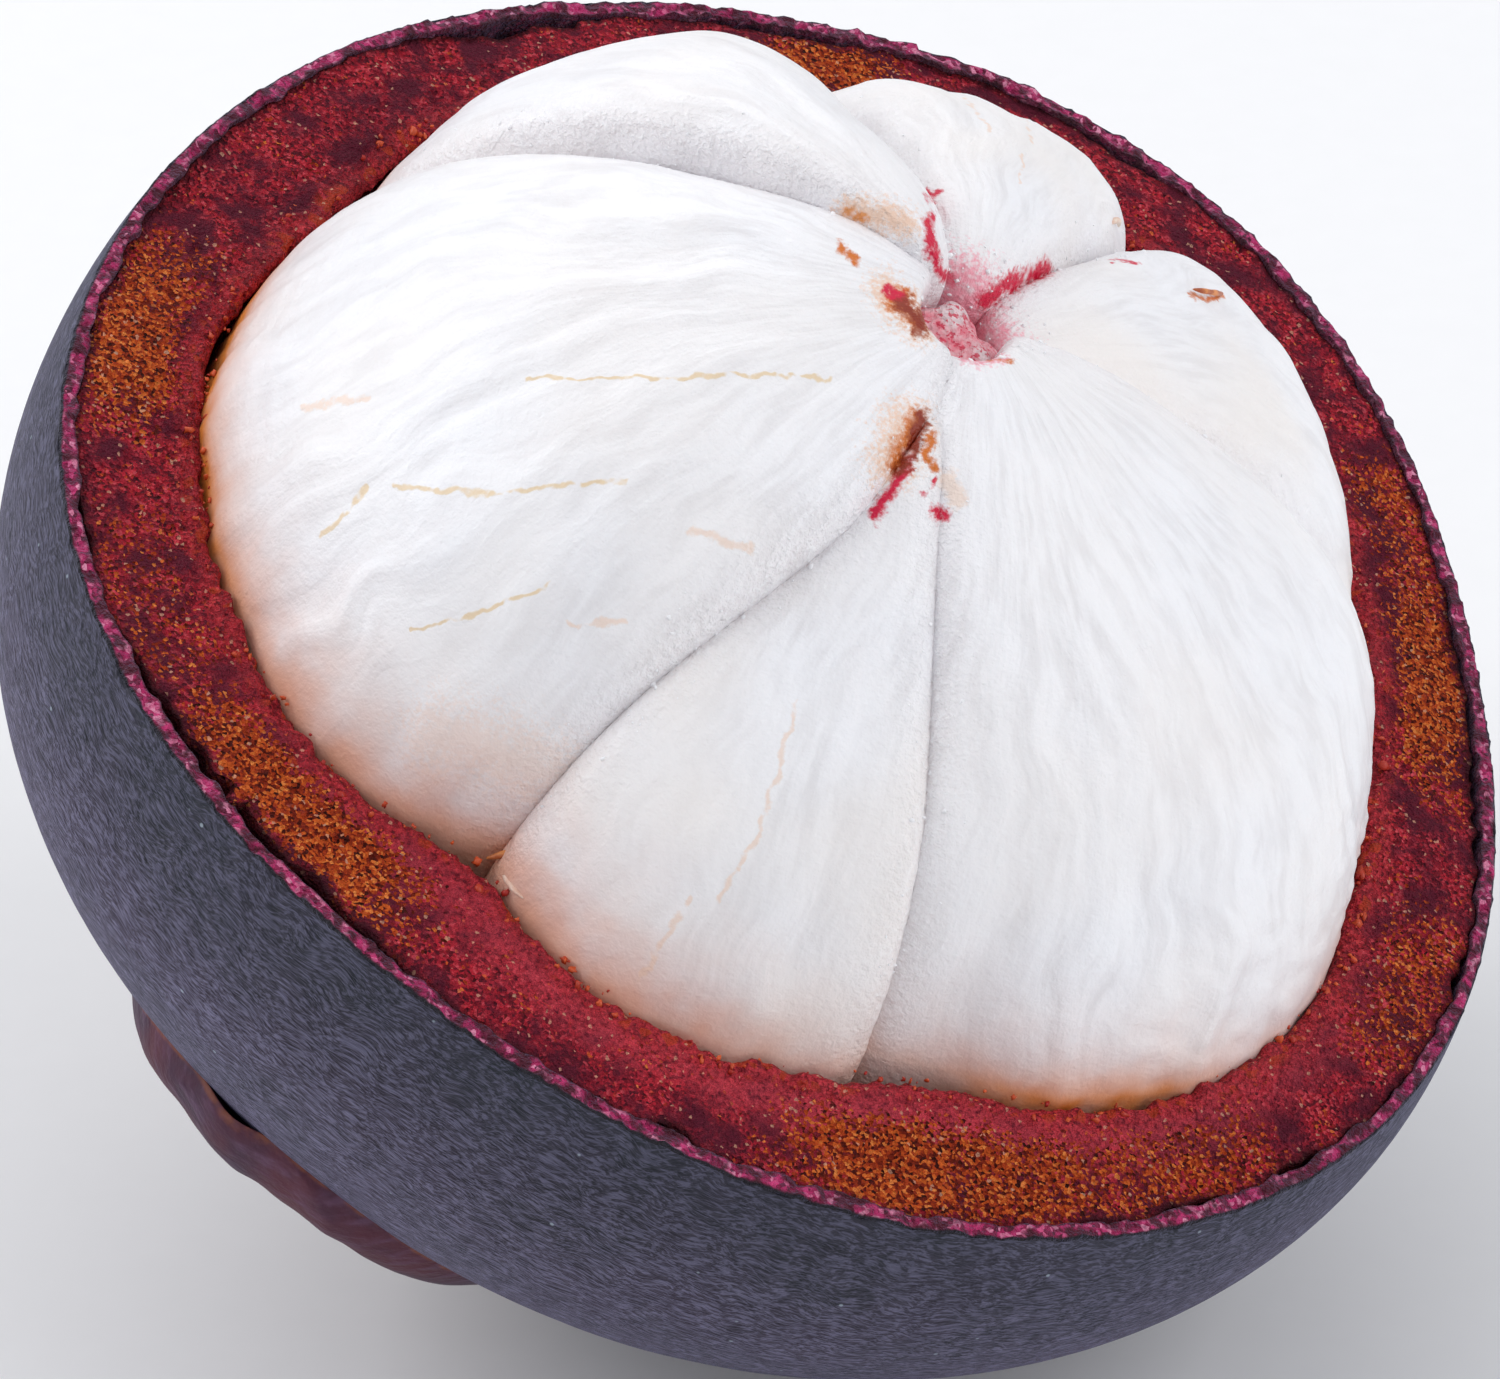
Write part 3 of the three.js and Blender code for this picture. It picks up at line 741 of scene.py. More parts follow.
def add_rim_crumbs(material):
    """Glassy red chips along the inner edge of the cut flesh."""
    chance = np.random.default_rng(4)
    azimuth = chance.uniform(0, 2 * np.pi, RIM_CRUMBS)
    radius = wall_radius(azimuth, CUT_HEIGHT) + chance.uniform(-0.35, 0.7, RIM_CRUMBS)
    spots = on_ring(radius, azimuth, CUT_HEIGHT + chance.uniform(-0.12, 0.10, RIM_CRUMBS))
    sizes = 0.04 + chance.exponential(0.045, RIM_CRUMBS)
    return make_crumbs("rim_crumbs", spots, sizes, 5, material, "rind")


def add_sugar(surfaces, material):
    """Frosty crumbs on the pulp along the grooves and round the core."""
    chance = np.random.default_rng(6)
    spots = []
    for rows, crease in surfaces:
        near_core = np.hypot(rows[..., 0] - CORE_AT[0], rows[..., 1] - CORE_AT[1]) < 3.4
        groove = (crease > 0.10) & (crease < 0.7) & (rows[..., 2] > 7)
        for chosen, count in ((groove, GROOVE_SUGAR), (near_core & (rows[..., 2] > 14.5), CORE_SUGAR)):
            places = rows[chosen]
            if len(places):
                spots.append(places[chance.integers(0, len(places), count)])
    spots = np.concatenate(spots)
    sizes = 0.03 + chance.exponential(0.025, len(spots)).clip(0, 0.07)
    return make_crumbs("sugar", spots, sizes, 7, material, "aril")


# Materials


class Field:
    """A value over a surface: a socket that adds Math nodes as it is worked with."""

    def __init__(self, tree, socket=None):
        self.tree = tree
        self.socket = socket

    def node(self, kind, settings=None, sockets=None, output=0):
        """Any node: its kind, its settings, and the values or links of its sockets."""
        made = self.tree.nodes.new(kind)
        for key, value in (settings or {}).items():
            if key == "stops":
                set_stops(made.color_ramp, value)
            else:
                setattr(made, key, value)
        for key, value in (sockets or {}).items():
            if isinstance(value, Field):
                self.tree.links.new(value.socket, made.inputs[key])
            else:
                made.inputs[key].default_value = value
        return Field(self.tree, made.outputs[output] if len(made.outputs) else None)

    def math(self, operation, *values):
        """One Math node on this value and others."""
        return self.node("ShaderNodeMath", {"operation": operation}, dict(enumerate([self, *values])))

    def __add__(self, other):
        return self.math("ADD", other)

    def __sub__(self, other):
        return self.math("SUBTRACT", other)

    def __mul__(self, other):
        return self.math("MULTIPLY", other)

    def __rsub__(self, other):
        return self.node("ShaderNodeMath", {"operation": "SUBTRACT"}, {0: other, 1: self})

    __radd__ = __add__
    __rmul__ = __mul__

    def vectors(self, operation, *values, output=0, **named):
        """One Vector Math node on vectors, numbers or links."""
        sockets = {**dict(enumerate(values)), **named}
        return self.node("ShaderNodeVectorMath", {"operation": operation}, sockets, output)

    def between(self, low, high):
        """Smooth step from `low` to `high`, the other way round where `low` is the larger."""
        ends = {"From Min": min(low, high), "From Max": max(low, high)}
        ends.update({"To Min": float(low > high), "To Max": float(low < high)})
        return self.node("ShaderNodeMapRange", {"interpolation_type": "SMOOTHSTEP"}, {"Value": self, **ends})

    def ramp(self, stops):
        """Colour between stops of (value, colour)."""
        return self.node("ShaderNodeValToRGB", {"stops": stops}, {"Fac": self})

    def tint(self, colour, other):
        """From `colour` where this value is 0 to `other` where it is 1."""
        ends = [c if isinstance(c, Field) else (*c, 1) for c in (colour, other)]
        return self.node("ShaderNodeMix", {"data_type": "RGBA"}, {0: self, 6: ends[0], 7: ends[1]}, 2)


def set_stops(ramp, stops):
    """Sets a colour ramp's stops from (position, colour) pairs."""
    while len(ramp.elements) < len(stops):
        ramp.elements.new(1)
    for element, (position, colour) in zip(ramp.elements, stops):
        element.position = position
        element.color = (*colour, 1)


def paint(colour, *layers):
    """Lays colours over one another, each by its own cover."""
    for cover, over in layers:
        colour = cover.tint(colour, over)
    return colour


class Finish:
    """A material in the making: its places, patterns and marks, and its shader."""

    def __init__(self, name):
        self.material = bpy.data.materials.new(name)
        self.material.use_nodes = True
        self.tree = self.material.node_tree
        self.tree.nodes.clear()
        self.start = Field(self.tree)
        spot = self.start.node("ShaderNodeTexCoord", output="Object")
        back = {"Vector": spot, "Location": FRUIT_CENTRE, "Rotation": LEAN.to_euler(), "Scale": (MM, MM, MM)}
        self.place = self.start.node("ShaderNodeMapping", {"vector_type": "TEXTURE"}, back)

    def mark(self, name, output="Fac"):
        """One of the piece's own attributes."""
        return self.start.node("ShaderNodeAttribute", {"attribute_name": name}, output=output)

    def grain(self, size, detail=2.0, rough=0.5, at=None, output=0):
        """Noise whose lumps are about `size` millimetres wide."""
        sockets = {"Vector": at or self.place, "Scale": 1 / size, "Detail": detail, "Roughness": rough}
        return self.start.node("ShaderNodeTexNoise", {}, sockets, output)

    def cells(self, size, output="Distance"):
        """Voronoi cells about `size` millimetres wide."""
        return self.start.node("ShaderNodeTexVoronoi", {}, {"Vector": self.place, "Scale": 1 / size}, output)

    def grains(self, size):
        """Three random values from 0 to 1 for each cell about `size` millimetres wide."""
        colour = self.cells(size, "Color")
        return [self.start.node("ShaderNodeSeparateColor", {}, {"Color": colour}, k) for k in range(3)]

    def bump(self, height, depth):
        """Normal from a height pattern `depth` millimetres high."""
        return self.start.node("ShaderNodeBump", {}, {"Height": height, "Distance": depth * MM})

    def shade(self, colour, rough, relief=None, specular=0.5, more=None, stained=None):
        """Finishes the material: a Principled shader, and near marks a second one in stained colours.

        The relief is a height pattern and its height in millimetres.
        """
        sockets = {"Base Color": colour, "Roughness": rough, "Specular IOR Level": specular, **(more or {})}
        if relief:
            sockets["Normal"] = self.bump(*relief)
        settings = {"subsurface_method": "BURLEY"} if stained else {}
        shader = self.start.node("ShaderNodeBsdfPrincipled", settings, sockets)
        if stained:
            other = {**sockets, "Base Color": stained, "Subsurface Weight": 0.08, "Coat Weight": 0.0}
            other = self.start.node("ShaderNodeBsdfPrincipled", settings, other)
            shader = self.start.node("ShaderNodeMixShader", {}, {0: self.mark("marked"), 1: shader, 2: other})
        self.start.node("ShaderNodeOutputMaterial", {}, {"Surface": shader})
        return self.material


# Colours from dark to light of the grains in the skin's broken edge and in the cut flesh.
PINK_STOPS = [
    (0.0, (0.10, 0.002, 0.022)), (0.4, (0.36, 0.006, 0.080)), (0.75, (0.62, 0.030, 0.17)),
    (1.0, (0.88, 0.32, 0.48)),
]
MAROON_STOPS = [
    (0.0, (0.022, 0.001, 0.006)), (0.3, (0.17, 0.006, 0.016)), (0.7, (0.54, 0.018, 0.036)),
    (1.0, (0.80, 0.11, 0.14)),
]
OCHRE_STOPS = [
    (0.0, (0.030, 0.002, 0.001)), (0.25, (0.19, 0.013, 0.004)), (0.55, (0.44, 0.047, 0.008)),
    (0.85, (0.68, 0.125, 0.018)), (1.0, (0.86, 0.26, 0.06)),
]


def skin_finish():
    """Slate-purple skin under a felt of fine pale fibres, with a broken wine-pink edge and painted shade
    where the skin drops behind that edge.
    """
    skin = Finish("rind skin")
    wander = skin.grain(1.6, 0, output=1)
    hairs = []
    for key, size in (("fibre", 0.19), ("fibre_left", 0.17), ("fibre_right", 0.17)):
        moved = skin.start.vectors("MULTIPLY_ADD", wander, (0.5, 0.5, 0.9), skin.mark(key, "Vector"))
        hairs.append(skin.grain(size, 2, 0.55, moved))
    lines = hairs[0].between(0.52, 0.64)
    for hair in hairs[1:]:
        lines = lines.math("MAXIMUM", hair.between(0.54, 0.66) * 0.85)
    broad = skin.grain(6, 3)
    mottle = skin.grain(0.8, 2, 0.6)
    specks = skin.grains(0.5)[0].math("GREATER_THAN", 0.985) * skin.cells(0.5).between(0.22, 0.12)
    outside = paint(
        (0.004, 0.003, 0.006),
        (mottle.between(0.3, 0.7), (0.034, 0.027, 0.046)),
        (broad.between(0.35, 0.65) * 0.6, (0.030, 0.016, 0.036)),
        (lines * (0.1 + mottle * 0.8 + broad * 0.5), (0.150, 0.140, 0.225)),
        (skin.mark("rim") * 0.40, (0.014, 0.024, 0.032)),
        (specks * 0.6, (0.40, 0.48, 0.55)),
    )

    inner = skin.mark("depth")
    pink = skin.grains(0.20)[0].ramp(PINK_STOPS)
    edge = paint(
        pink,
        (skin.grain(0.7, 2).between(0.42, 0.62), (0.08, 0.002, 0.014)),
        (inner.between(0.24, 0.08), (0.008, 0.006, 0.010)),
        # painted shade: the inner side of the broken edge and the skin's inside face, which drops into the
        # splits, are darkened
        (inner.between(0.80, 1.0) * 0.8, (0.035, 0.002, 0.008)),
    )
    band = skin.mark("band").between(0.4, 0.6)

    felt = hairs[0] * 1.4 + mottle * 1.2
    crumbly = skin.grain(0.20, 2, 0.65) * 1.8
    relief = (felt * (1 - band) * 0.6 + crumbly * band, 0.22)
    sheen = {"Sheen Weight": 0.18, "Sheen Roughness": 0.45, "Sheen Tint": (0.58, 0.55, 0.95, 1)}
    rough = 0.68 - 0.12 * mottle - 0.10 * band
    return skin.shade(band.tint(outside, edge), rough, relief, 0.28, sheen)


def flesh_finish():
    """Wine-red cut flesh: brown and orange grains in patches, painted glints, a crimson wet inner edge,
    painted rosy light at the front, and painted shade in the splits and down the hollow.
    """
    flesh = Finish("rind flesh")
    brown, inner, depth, lit = (flesh.mark(key) for key in ("brown", "inner", "depth", "lit"))
    cloud = flesh.grain(1.8, 3, 0.6)
    tone, pick, painted_glint_pick = flesh.grains(0.13)
    fine = flesh.grain(0.26, 2, 0.6)
    maroon = (tone * 0.75 + fine.between(0.25, 0.75) * 0.25).ramp(MAROON_STOPS)
    ochre = tone.ramp(OCHRE_STOPS)
    warmed = (brown * 1.15 + (cloud - 0.5) * 0.9 - 0.05) - pick
    crimson = (tone * 0.6 + fine.between(0.3, 0.7) * 0.4).tint((0.13, 0.002, 0.008), (0.72, 0.045, 0.060))
    wet = (inner + (cloud - 0.5) * 0.9).between(0.15, 0.95)
    glassy = flesh.grains(0.42)[0].math("GREATER_THAN", 0.86) * inner.between(0.5, 0.95)
    colour = paint(
        maroon,
        (cloud.between(0.62, 0.35), (0.11, 0.008, 0.024)),
        # painted light: a rosy brightening on the front of the cut face
        (lit * fine.between(0.2, 0.6) * 0.75, (0.70, 0.065, 0.095)),
        (warmed.between(-0.10, 0.06), ochre),
        (wet * 0.7, crimson),
        (glassy * 0.6, (0.55, 0.060, 0.012)),
        # painted highlights: sparse pale glints scattered over the cut flesh
        (painted_glint_pick.math("GREATER_THAN", 0.986) * 0.6, (0.80, 0.42, 0.28)),
        # painted shade: the flesh beside the splits and down their sides is darkened nearly to black
        (flesh.mark("split") * 0.9, (0.020, 0.001, 0.003)),
        # painted shade: the flesh darkens down the wall into the hollow behind the segments
        (depth.between(0.2, 0.8), (0.16, 0.006, 0.012)),
    )

    coarse = flesh.grain(0.16, 2, 0.7) + flesh.cells(0.13) * 0.6 + flesh.grain(0.6, 1) * 0.6
    coat = {"Coat Weight": wet * 0.06, "Coat Roughness": 0.2}
    return flesh.shade(colour, 0.60 - 0.22 * wet, (coarse, 0.28), 0.12, coat)


# Warmth of the pulp's white, where it differs from the two large segments.
WARMTH = {"front_wedge": 0.85, "right": 0.8, "back_right": 0.7}


def pulp_finish(name):
    """White wet pulp: silky ridges, peach at the rim, painted grey-pink shade and sugar in the grooves, a
    painted orange glow at the flesh, and painted shade below the cut.
    """
    pulp = Finish("pulp " + name)
    crease, rimward, sunk, glow = (pulp.mark(key) for key in ("crease", "rimward", "sunk", "glow"))
    fan = pulp.mark("fan", "Vector")
    cloud = pulp.grain(4, 3, 0.55)
    short = pulp.start.vectors("MULTIPLY", fan, (1, 1, 2.4))
    silk = pulp.grain(0.9, 3, 0.6, short)
    frost = pulp.grain(0.30, 2, 0.7)
    peach = rimward * (0.85 + (pulp.grain(2.2, 2) - 0.5) * 1.2)
    colour = paint(
        (0.80, 0.79, 0.81),
        (silk.between(0.32, 0.62), (0.91, 0.91, 0.935)),
        (cloud.between(0.35, 0.65) * 0.4, (0.94, 0.94, 0.965)),
        (pulp.grain(7, 1).between(0.25, 0.75) * WARMTH.get(name, 0.35), (0.92, 0.865, 0.82)),
        # painted shade: grey-pink along the grooves between the segments
        (crease * 0.35, (0.88, 0.77, 0.79)),
        (crease * frost.between(0.50, 0.62) * 0.8, (0.98, 0.97, 0.98)),
        (peach.between(0.08, 0.95) * 0.8, (0.84, 0.44, 0.30)),
        # painted light: an orange glow on the pulp where it meets the flesh
        (glow * (0.6 + pulp.grain(1.2, 1)), (0.78, 0.26, 0.05)),
        # painted shade: the pulp turns dark brownish below the cut, inside the rind
        (sunk * 0.7, (0.66, 0.36, 0.28)),
    )
    relief = silk * 0.6 + frost * 0.35 + pulp.grain(1.6, 1) * 0.4 + frost * crease * 2
    wet = {
        "Coat Weight": 0.10 + silk.between(0.5, 0.7) * 0.2,
        "Coat Roughness": 0.18,
        "Subsurface Weight": 0.22,
        "Subsurface Radius": (1.0, 0.72, 0.62),
        "Subsurface Scale": 0.0013,
    }
    stained = add_marks(pulp, MARKS[name], colour)
    return pulp.shade(colour, 0.34 + frost * 0.2, (relief, 0.14), 0.45, wet, stained)


# Colour, strength and softness of each kind of mark on the pulp.
MARK_KINDS = {
    "vein": ((0.76, 0.50, 0.16), 0.60, 0.3),
    "faint": ((0.88, 0.60, 0.42), 0.50, 0.6),
    "red": ((0.66, 0.0, 0.045), 1.0, 0.8),
    "brown": ((0.27, 0.026, 0.005), 1.0, 0.7),
    "orange": ((0.66, 0.17, 0.02), 1.0, 0.8),
    "halo": ((0.86, 0.42, 0.16), 0.55, 1.4),
    "blush": ((0.92, 0.62, 0.46), 0.35, 1.4),
    "pink": ((0.90, 0.20, 0.30), 0.75, 1.2),
}
# Marks on the pulp: kind, half width and the line they follow, in the fruit's frame.
RED_UP = ("red", 0.22, [(-1.4, 7.7, 18.0), (-1.3, 6.6, 18.1), (-2.2, 2.2, 20.8), (-1.8, 1.9, 20.5),
                        (-1.3, 1.9, 19.9), (-0.3, 3.3, 18.4)])
RED_RIGHT = ("red", 0.34, [(1.3, 3.3, 17.8), (2.2, 4.7, 17.5), (3.3, 6.3, 16.7), (4.5, 8.1, 15.8)])
TIP_LEFT = [
    ("halo", 0.8, [(-2.1, -6.1, 19.5), (-2.4, -7.7, 19.1)]),
    ("orange", 0.40, [(-1.8, -5.9, 19.6), (-2.2, -7.6, 19.1)]),
    ("red", 0.24, [(-1.8, -7.3, 19.2), (-2.0, -8.2, 18.9), (-2.4, -9.2, 18.7), (-2.7, -10.0, 18.5)]),
    ("brown", 0.32, [(-1.6, -5.8, 19.6), (-1.7, -6.9, 19.3), (-2.0, -7.7, 19.0)]),
]
TIP_RIGHT = [
    ("orange", 0.17, [(-1.1, -6.0, 19.5), (-1.1, -6.7, 19.2), (-0.7, -7.4, 19.0)]),
    ("red", 0.13, [(-0.7, -7.9, 18.9), (-0.9, -8.5, 18.7)]),
    ("faint", 0.35, [(-0.1, -7.6, 18.9), (0.4, -8.2, 18.6)]),
    ("red", 0.22, [(-0.4, -9.0, 18.5), (0.0, -9.0, 18.4)]),
]
CORE_PINK = ("pink", 1.2, [(0.4, 3.6, 17.6), (1.2, 2.6, 16.6), (2.0, 1.3, 17.0)])
MARKS = {
    "front_left": [
        ("vein", 0.10, [(-19.1, -9.6, 11.8), (-16.1, -10.7, 14.1), (-13.9, -10.7, 15.7),
                        (-11.9, -10.5, 16.8)]),
        ("vein", 0.09, [(-20.0, -9.2, 11.0), (-20.6, -9.9, 9.7), (-20.9, -10.2, 8.7)]),
        ("vein", 0.08, [(-17.3, -14.3, 9.8), (-15.0, -14.2, 12.1), (-13.4, -13.8, 13.7)]),
        ("faint", 0.10, [(-12.4, -14.8, 13.1), (-10.5, -14.7, 14.1)]),
        ("faint", 0.12, [(-22.4, -4.9, 9.5), (-20.7, -5.7, 11.8)]),
        ("vein", 0.08, [(-15.8, -6.5, 16.2), (-11.8, -6.7, 18.3), (-8.7, -6.2, 19.5), (-5.5, -5.7, 20.2)]),
        ("faint", 0.16, [(-9.3, -12.1, 16.9), (-7.0, -12.2, 17.1)]),
        ("blush", 1.2, [(-15.2, -16.8, 7.5), (-13.7, -17.1, 8.0), (-11.3, -17.5, 8.0)]),
        ("halo", 0.6, [(-3.8, -0.9, 20.9), (-2.4, -2.2, 20.8)]),
        ("orange", 0.42, [(-3.3, -1.2, 20.9), (-2.4, -2.1, 20.8)]),
        ("red", 0.16, [(-3.8, -0.9, 20.9), (-3.3, -1.1, 20.9), (-2.8, -1.6, 20.9)]),
        ("brown", 0.32, [(-3.0, -1.5, 20.9), (-2.4, -1.9, 20.8), (-2.3, -2.2, 20.7)]),
        ("orange", 0.18, [(-5.6, 0.7, 20.7), (-5.1, 0.2, 20.7)]),
        *TIP_LEFT,
    ],
    "back_left": [
        RED_UP,
        ("orange", 0.20, [(-5.3, 3.2, 20.1), (-4.7, 2.9, 20.3)]),
        ("halo", 0.5, [(-5.3, 3.2, 20.1), (-4.2, 2.8, 20.9), (-3.3, 2.7, 21.0)]),
    ],
    "back_right": [
        RED_UP, CORE_PINK, RED_RIGHT,
        ("red", 0.12, [(-1.5, 7.7, 17.8), (-1.1, 7.7, 18.4)]),
        ("faint", 0.09, [(1.0, 16.9, 15.1), (0.9, 14.4, 16.9), (1.1, 12.6, 17.8)]),
        ("faint", 0.09, [(3.6, 16.7, 15.2), (3.1, 13.2, 17.3)]),
        ("faint", 0.08, [(2.5, 11.6, 18.0), (2.3, 9.5, 18.4)]),
    ],
    "right": [
        CORE_PINK, RED_RIGHT,
        ("red", 0.2, [(2.0, 1.2, 17.0), (1.4, 1.9, 16.4)]),
        ("red", 0.10, [(7.3, 9.8, 15.7), (8.4, 10.1, 15.9)]),
        ("orange", 0.14, [(10.6, 9.3, 16.0), (11.4, 9.6, 15.6), (12.6, 11.3, 14.4)]),
    ],
    "front_right": [
        ("pink", 0.22, [(0.0, -1.8, 19.4), (1.6, -1.0, 19.2)]),
        ("orange", 0.12, [(1.0, -1.3, 19.3), (1.9, -1.0, 19.2)]),
        *TIP_RIGHT,
    ],
    "front_wedge": [
        *TIP_LEFT, *TIP_RIGHT,
        ("faint", 0.10, [(-5.8, -23.3, 5.1), (-5.3, -21.8, 8.5)]),
        ("faint", 0.10, [(-4.3, -21.8, 8.9), (-3.7, -20.0, 11.2), (-3.7, -16.2, 14.4)]),
    ],
}


def add_marks(pulp, marks, colour):
    """Lays each mark over the colour: soft-edged lines, their distance shaken by fine noise."""
    toward = pulp.start.vectors("DOT_PRODUCT", pulp.place, tuple(SIGHT), output=1)
    flat = pulp.start.vectors("SCALE", tuple(-MARK_FLATTEN * SIGHT), Scale=toward)
    flat = pulp.start.vectors("ADD", flat, pulp.place)
    shaken = pulp.start.vectors("MULTIPLY_ADD", pulp.grain(0.9, 2, output=1), (MARK_SHAKE,) * 3, flat)
    ragged = pulp.grain(0.20, 2, 0.7)
    patchy = pulp.grain(0.7, 1)
    for kind, width, line in marks:
        stain, strength, softness = MARK_KINDS[kind]
        away = None
        for start, step in steps_along(line):
            offset = shaken.vectors("SUBTRACT", shaken, tuple(start + MARK_SHAKE / 2))
            share = offset.vectors("DOT_PRODUCT", offset, tuple(step / (step @ step)), output=1)
            nearest = offset.vectors("SCALE", tuple(step), Scale=share.math("MAXIMUM", 0).math("MINIMUM", 1))
            distance = offset.vectors("DISTANCE", offset, nearest, output=1)
            away = away.math("MINIMUM", distance) if away else distance
        level = away * (1 / width) + (ragged - 0.5) * 2.6 * softness
        cover = level.between(1.35 + 0.3 * softness, 0.6 - 0.3 * softness) * patchy.between(0.10, 0.40)
        colour = (cover * strength).tint(colour, stain)
    return colour


def core_finish():
    """Torn pink tissue with crimson flecks and wet crumbs."""
    core = Finish("core tissue")
    torn = core.mark("torn")
    colour = paint(
        (0.96, 0.24, 0.31),
        (core.grain(0.6, 4, 0.6).between(0.35, 0.65), (0.97, 0.56, 0.60)),
        (torn.between(0.55, 0.85), (0.98, 0.78, 0.80)),
        (core.grain(0.24, 3, 0.6).between(0.52, 0.62) * 0.9, (0.78, 0.02, 0.08)),
    )
    relief = core.grain(0.3, 4, 0.7) + core.cells(0.35)
    return core.shade(colour, 0.32, (relief, 0.25))


def calyx_finish():
    """Purple-grey sepals, reddish in places, with fine ribs and a thin orange dry margin."""
    calyx = Finish("calyx")
    margin = calyx.mark("margin")
    ribs = calyx.grain(0.32, 3, 0.6, calyx.mark("ribs", "Vector"))
    patchy = calyx.grain(4, 3)
    dry = margin.between(0.86, 1.0) * (0.6 + (calyx.grain(0.8, 3) - 0.5) * 1.5)
    colour = paint(
        (0.042, 0.015, 0.040),
        (patchy.between(0.35, 0.65), (0.085, 0.017, 0.032)),
        (ribs.between(0.45, 0.70) * 0.5, (0.13, 0.062, 0.12)),
        (dry.between(0.2, 0.7) * 0.45, (0.30, 0.09, 0.02)),
    )
    relief = ribs * 0.6 + calyx.grain(0.35, 3) * 0.4
    return calyx.shade(colour, 0.5 + 0.2 * patchy, (relief, 0.18), 0.3)


def crumb_finish(name, dark, light):
    """Glassy crumbs, each with its own tone between two colours."""
    crumb = Finish(name)
    rough = 0.25 + crumb.grain(0.2) * 0.3
    return crumb.shade(crumb.mark("tone").tint(dark, light), rough, specular=0.4)


# Dark and light colour of each kind of fibre.
STRAND_COLOURS = {
    "pale": ((0.80, 0.50, 0.38), (0.90, 0.78, 0.66)),
    "red": ((0.45, 0.01, 0.02), (0.75, 0.10, 0.08)),
    "orange": ((0.40, 0.08, 0.02), (0.75, 0.28, 0.08)),
}


def strand_finish(name, dark, light):
    """Wet fibre, darker and lighter along its length."""
    strand = Finish(name)
    colour = strand.grain(0.6, 3).between(0.35, 0.65).tint(dark, light)
    return strand.shade(colour, 0.35 + strand.grain(0.3) * 0.2, (strand.grain(0.2, 3), 0.06))


def stem_finish():
    """Grey-brown bark on the sides and pale pith with rings on the cut end."""
    stem = Finish("stem")
    cut = stem.mark("cut")
    bark = stem.grain(0.5, 5, 0.7).between(0.3, 0.7).tint((0.07, 0.045, 0.03), (0.22, 0.15, 0.10))
    pith = stem.grain(0.4, 4).between(0.35, 0.65).tint((0.34, 0.24, 0.15), (0.50, 0.39, 0.27))
    relief = stem.grain(0.3, 4, 0.7) + stem.cells(0.5)
    return stem.shade(cut.tint(bark, pith), 0.8 - 0.1 * cut, (relief, 0.15))


def floor_finish():
    """Plain pale matte floor with the faintest tooth."""
    floor = Finish("floor")
    tooth = floor.grain(2, 2)
    return floor.shade(tooth.tint((0.86, 0.86, 0.865), (0.88, 0.88, 0.885)), 0.9)


# Studio


# Camera: distance in metres, focal length and sensor in millimetres, shift of the frame.
CAMERA_AWAY = 0.279
CAMERA_LENS = 168.9
CAMERA_SENSOR = 36
CAMERA_SHIFT = (-0.0167, -0.0357)

# Soft square lights: azimuth and height in degrees, distance and side in metres, watts.
LIGHTS = {
    "left": (175, 35, 0.6, 0.5, 2.0),
    "right": (-18, 35, 0.6, 0.5, 1.5),
    "back": (100, 50, 0.6, 0.5, 0.8),
}
SURROUND_COLOUR = (0.92, 0.94, 1.0, 1)
SURROUND_STRENGTH = 0.55
FLOOR_SIDE = 6.0


def way_to(azimuth, rise):
    """Direction at an azimuth and a height above the floor, in radians."""
    return Vector((np.cos(azimuth) * np.cos(rise), np.sin(azimuth) * np.cos(rise), np.sin(rise)))


def aim(thing, azimuth, rise, away):
    """Puts a camera or a light in the scene, some way off the fruit's middle and looking at it."""
    bpy.context.scene.collection.objects.link(thing)
    thing.location = FRUIT_CENTRE + away * way_to(azimuth, rise)
    thing.rotation_euler = (FRUIT_CENTRE - thing.location).to_track_quat("-Z", "Y").to_euler()


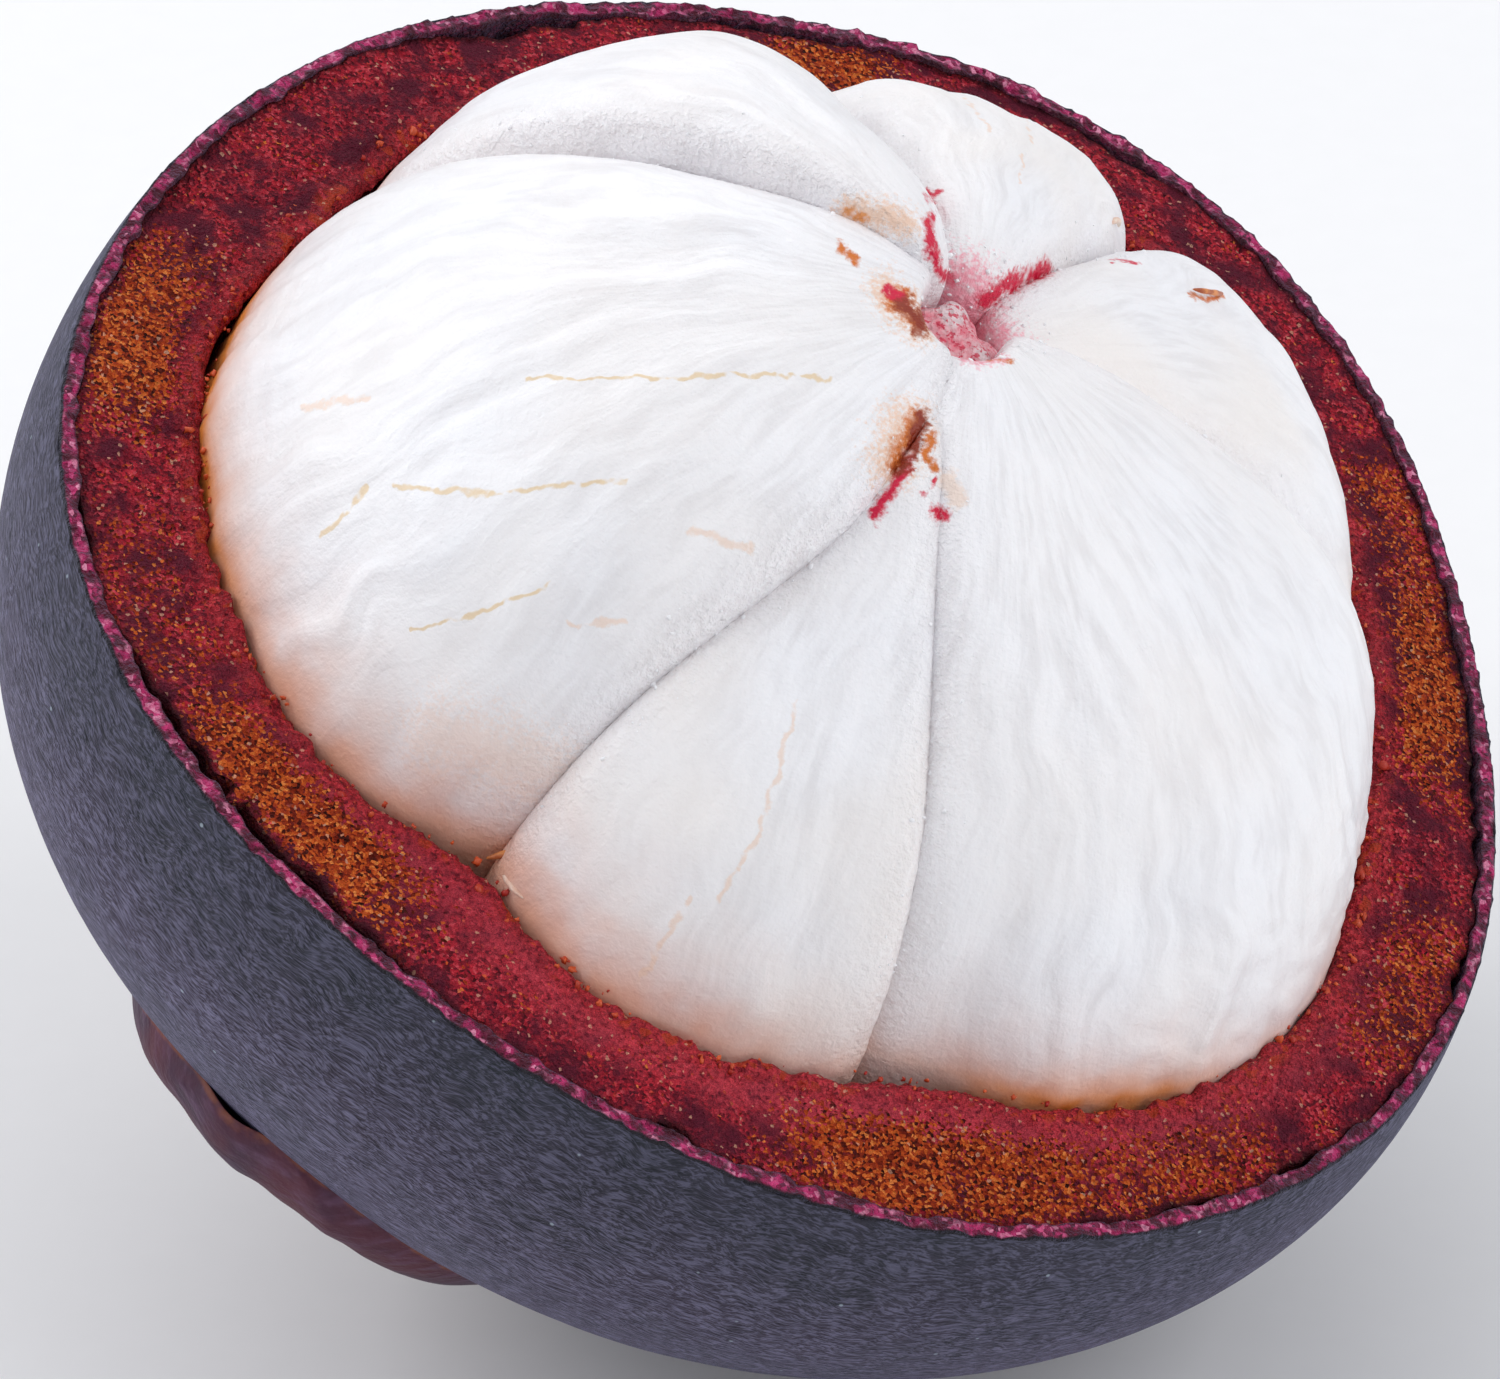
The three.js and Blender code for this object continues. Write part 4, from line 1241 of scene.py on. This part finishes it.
def add_camera():
    """Camera at the photograph's angle, looking at the middle of the round fruit."""
    camera = bpy.data.objects.new("camera", bpy.data.cameras.new("camera"))
    aim(camera, np.radians(-90), CAMERA_RISE, CAMERA_AWAY)
    camera.data.lens, camera.data.sensor_width = CAMERA_LENS, CAMERA_SENSOR
    camera.data.shift_x, camera.data.shift_y = CAMERA_SHIFT
    bpy.context.scene.camera = camera


def add_studio(floor_material):
    """Plain pale floor, an even pale surround and three soft lights."""
    corners = np.array([(-1, -1, 0), (1, -1, 0), (1, 1, 0), (-1, 1, 0)]) * FLOOR_SIDE / 2
    mesh = bpy.data.meshes.new("floor")
    mesh.from_pydata(corners.tolist(), [], [(0, 1, 2, 3)])
    mesh.materials.append(floor_material)
    floor = bpy.data.objects.new("floor", mesh)
    bpy.context.scene.collection.objects.link(floor)
    world = bpy.data.worlds.new("surround")
    world.use_nodes = True
    surround = world.node_tree.nodes["Background"].inputs
    surround["Color"].default_value = SURROUND_COLOUR
    surround["Strength"].default_value = SURROUND_STRENGTH
    bpy.context.scene.world = world
    for name, (azimuth, rise, away, size, watts) in LIGHTS.items():
        light = bpy.data.objects.new(name, bpy.data.lights.new(name, "AREA"))
        aim(light, np.radians(azimuth), np.radians(rise), away)
        light.data.size, light.data.energy = size, watts
    bpy.context.scene.view_settings.view_transform = "Standard"


add_camera()
add_studio(floor_finish())
make_skin(skin_finish())
make_flesh(flesh_finish())
surfaces = [make_segment(segment_name, pulp_finish(segment_name)) for segment_name in SEGMENTS]
add_sugar(surfaces, crumb_finish("sugar crumbs", (0.93, 0.92, 0.94), (0.98, 0.98, 1.0)))
add_rim_crumbs(crumb_finish("rim crumbs", (0.36, 0.008, 0.012), (0.72, 0.12, 0.03)))
strand_looks = {kind: strand_finish(kind + " fibre", *pair) for kind, pair in STRAND_COLOURS.items()}
for strand_number, (kind, thick, line) in enumerate(STRANDS, 1):
    make_strand(f"strand_{strand_number}", thick, line, strand_looks[kind])
make_core(core_finish())
calyx_material = calyx_finish()
for sepal_name in SEPALS:
    make_sepal(sepal_name, calyx_material)
make_stem(stem_finish())
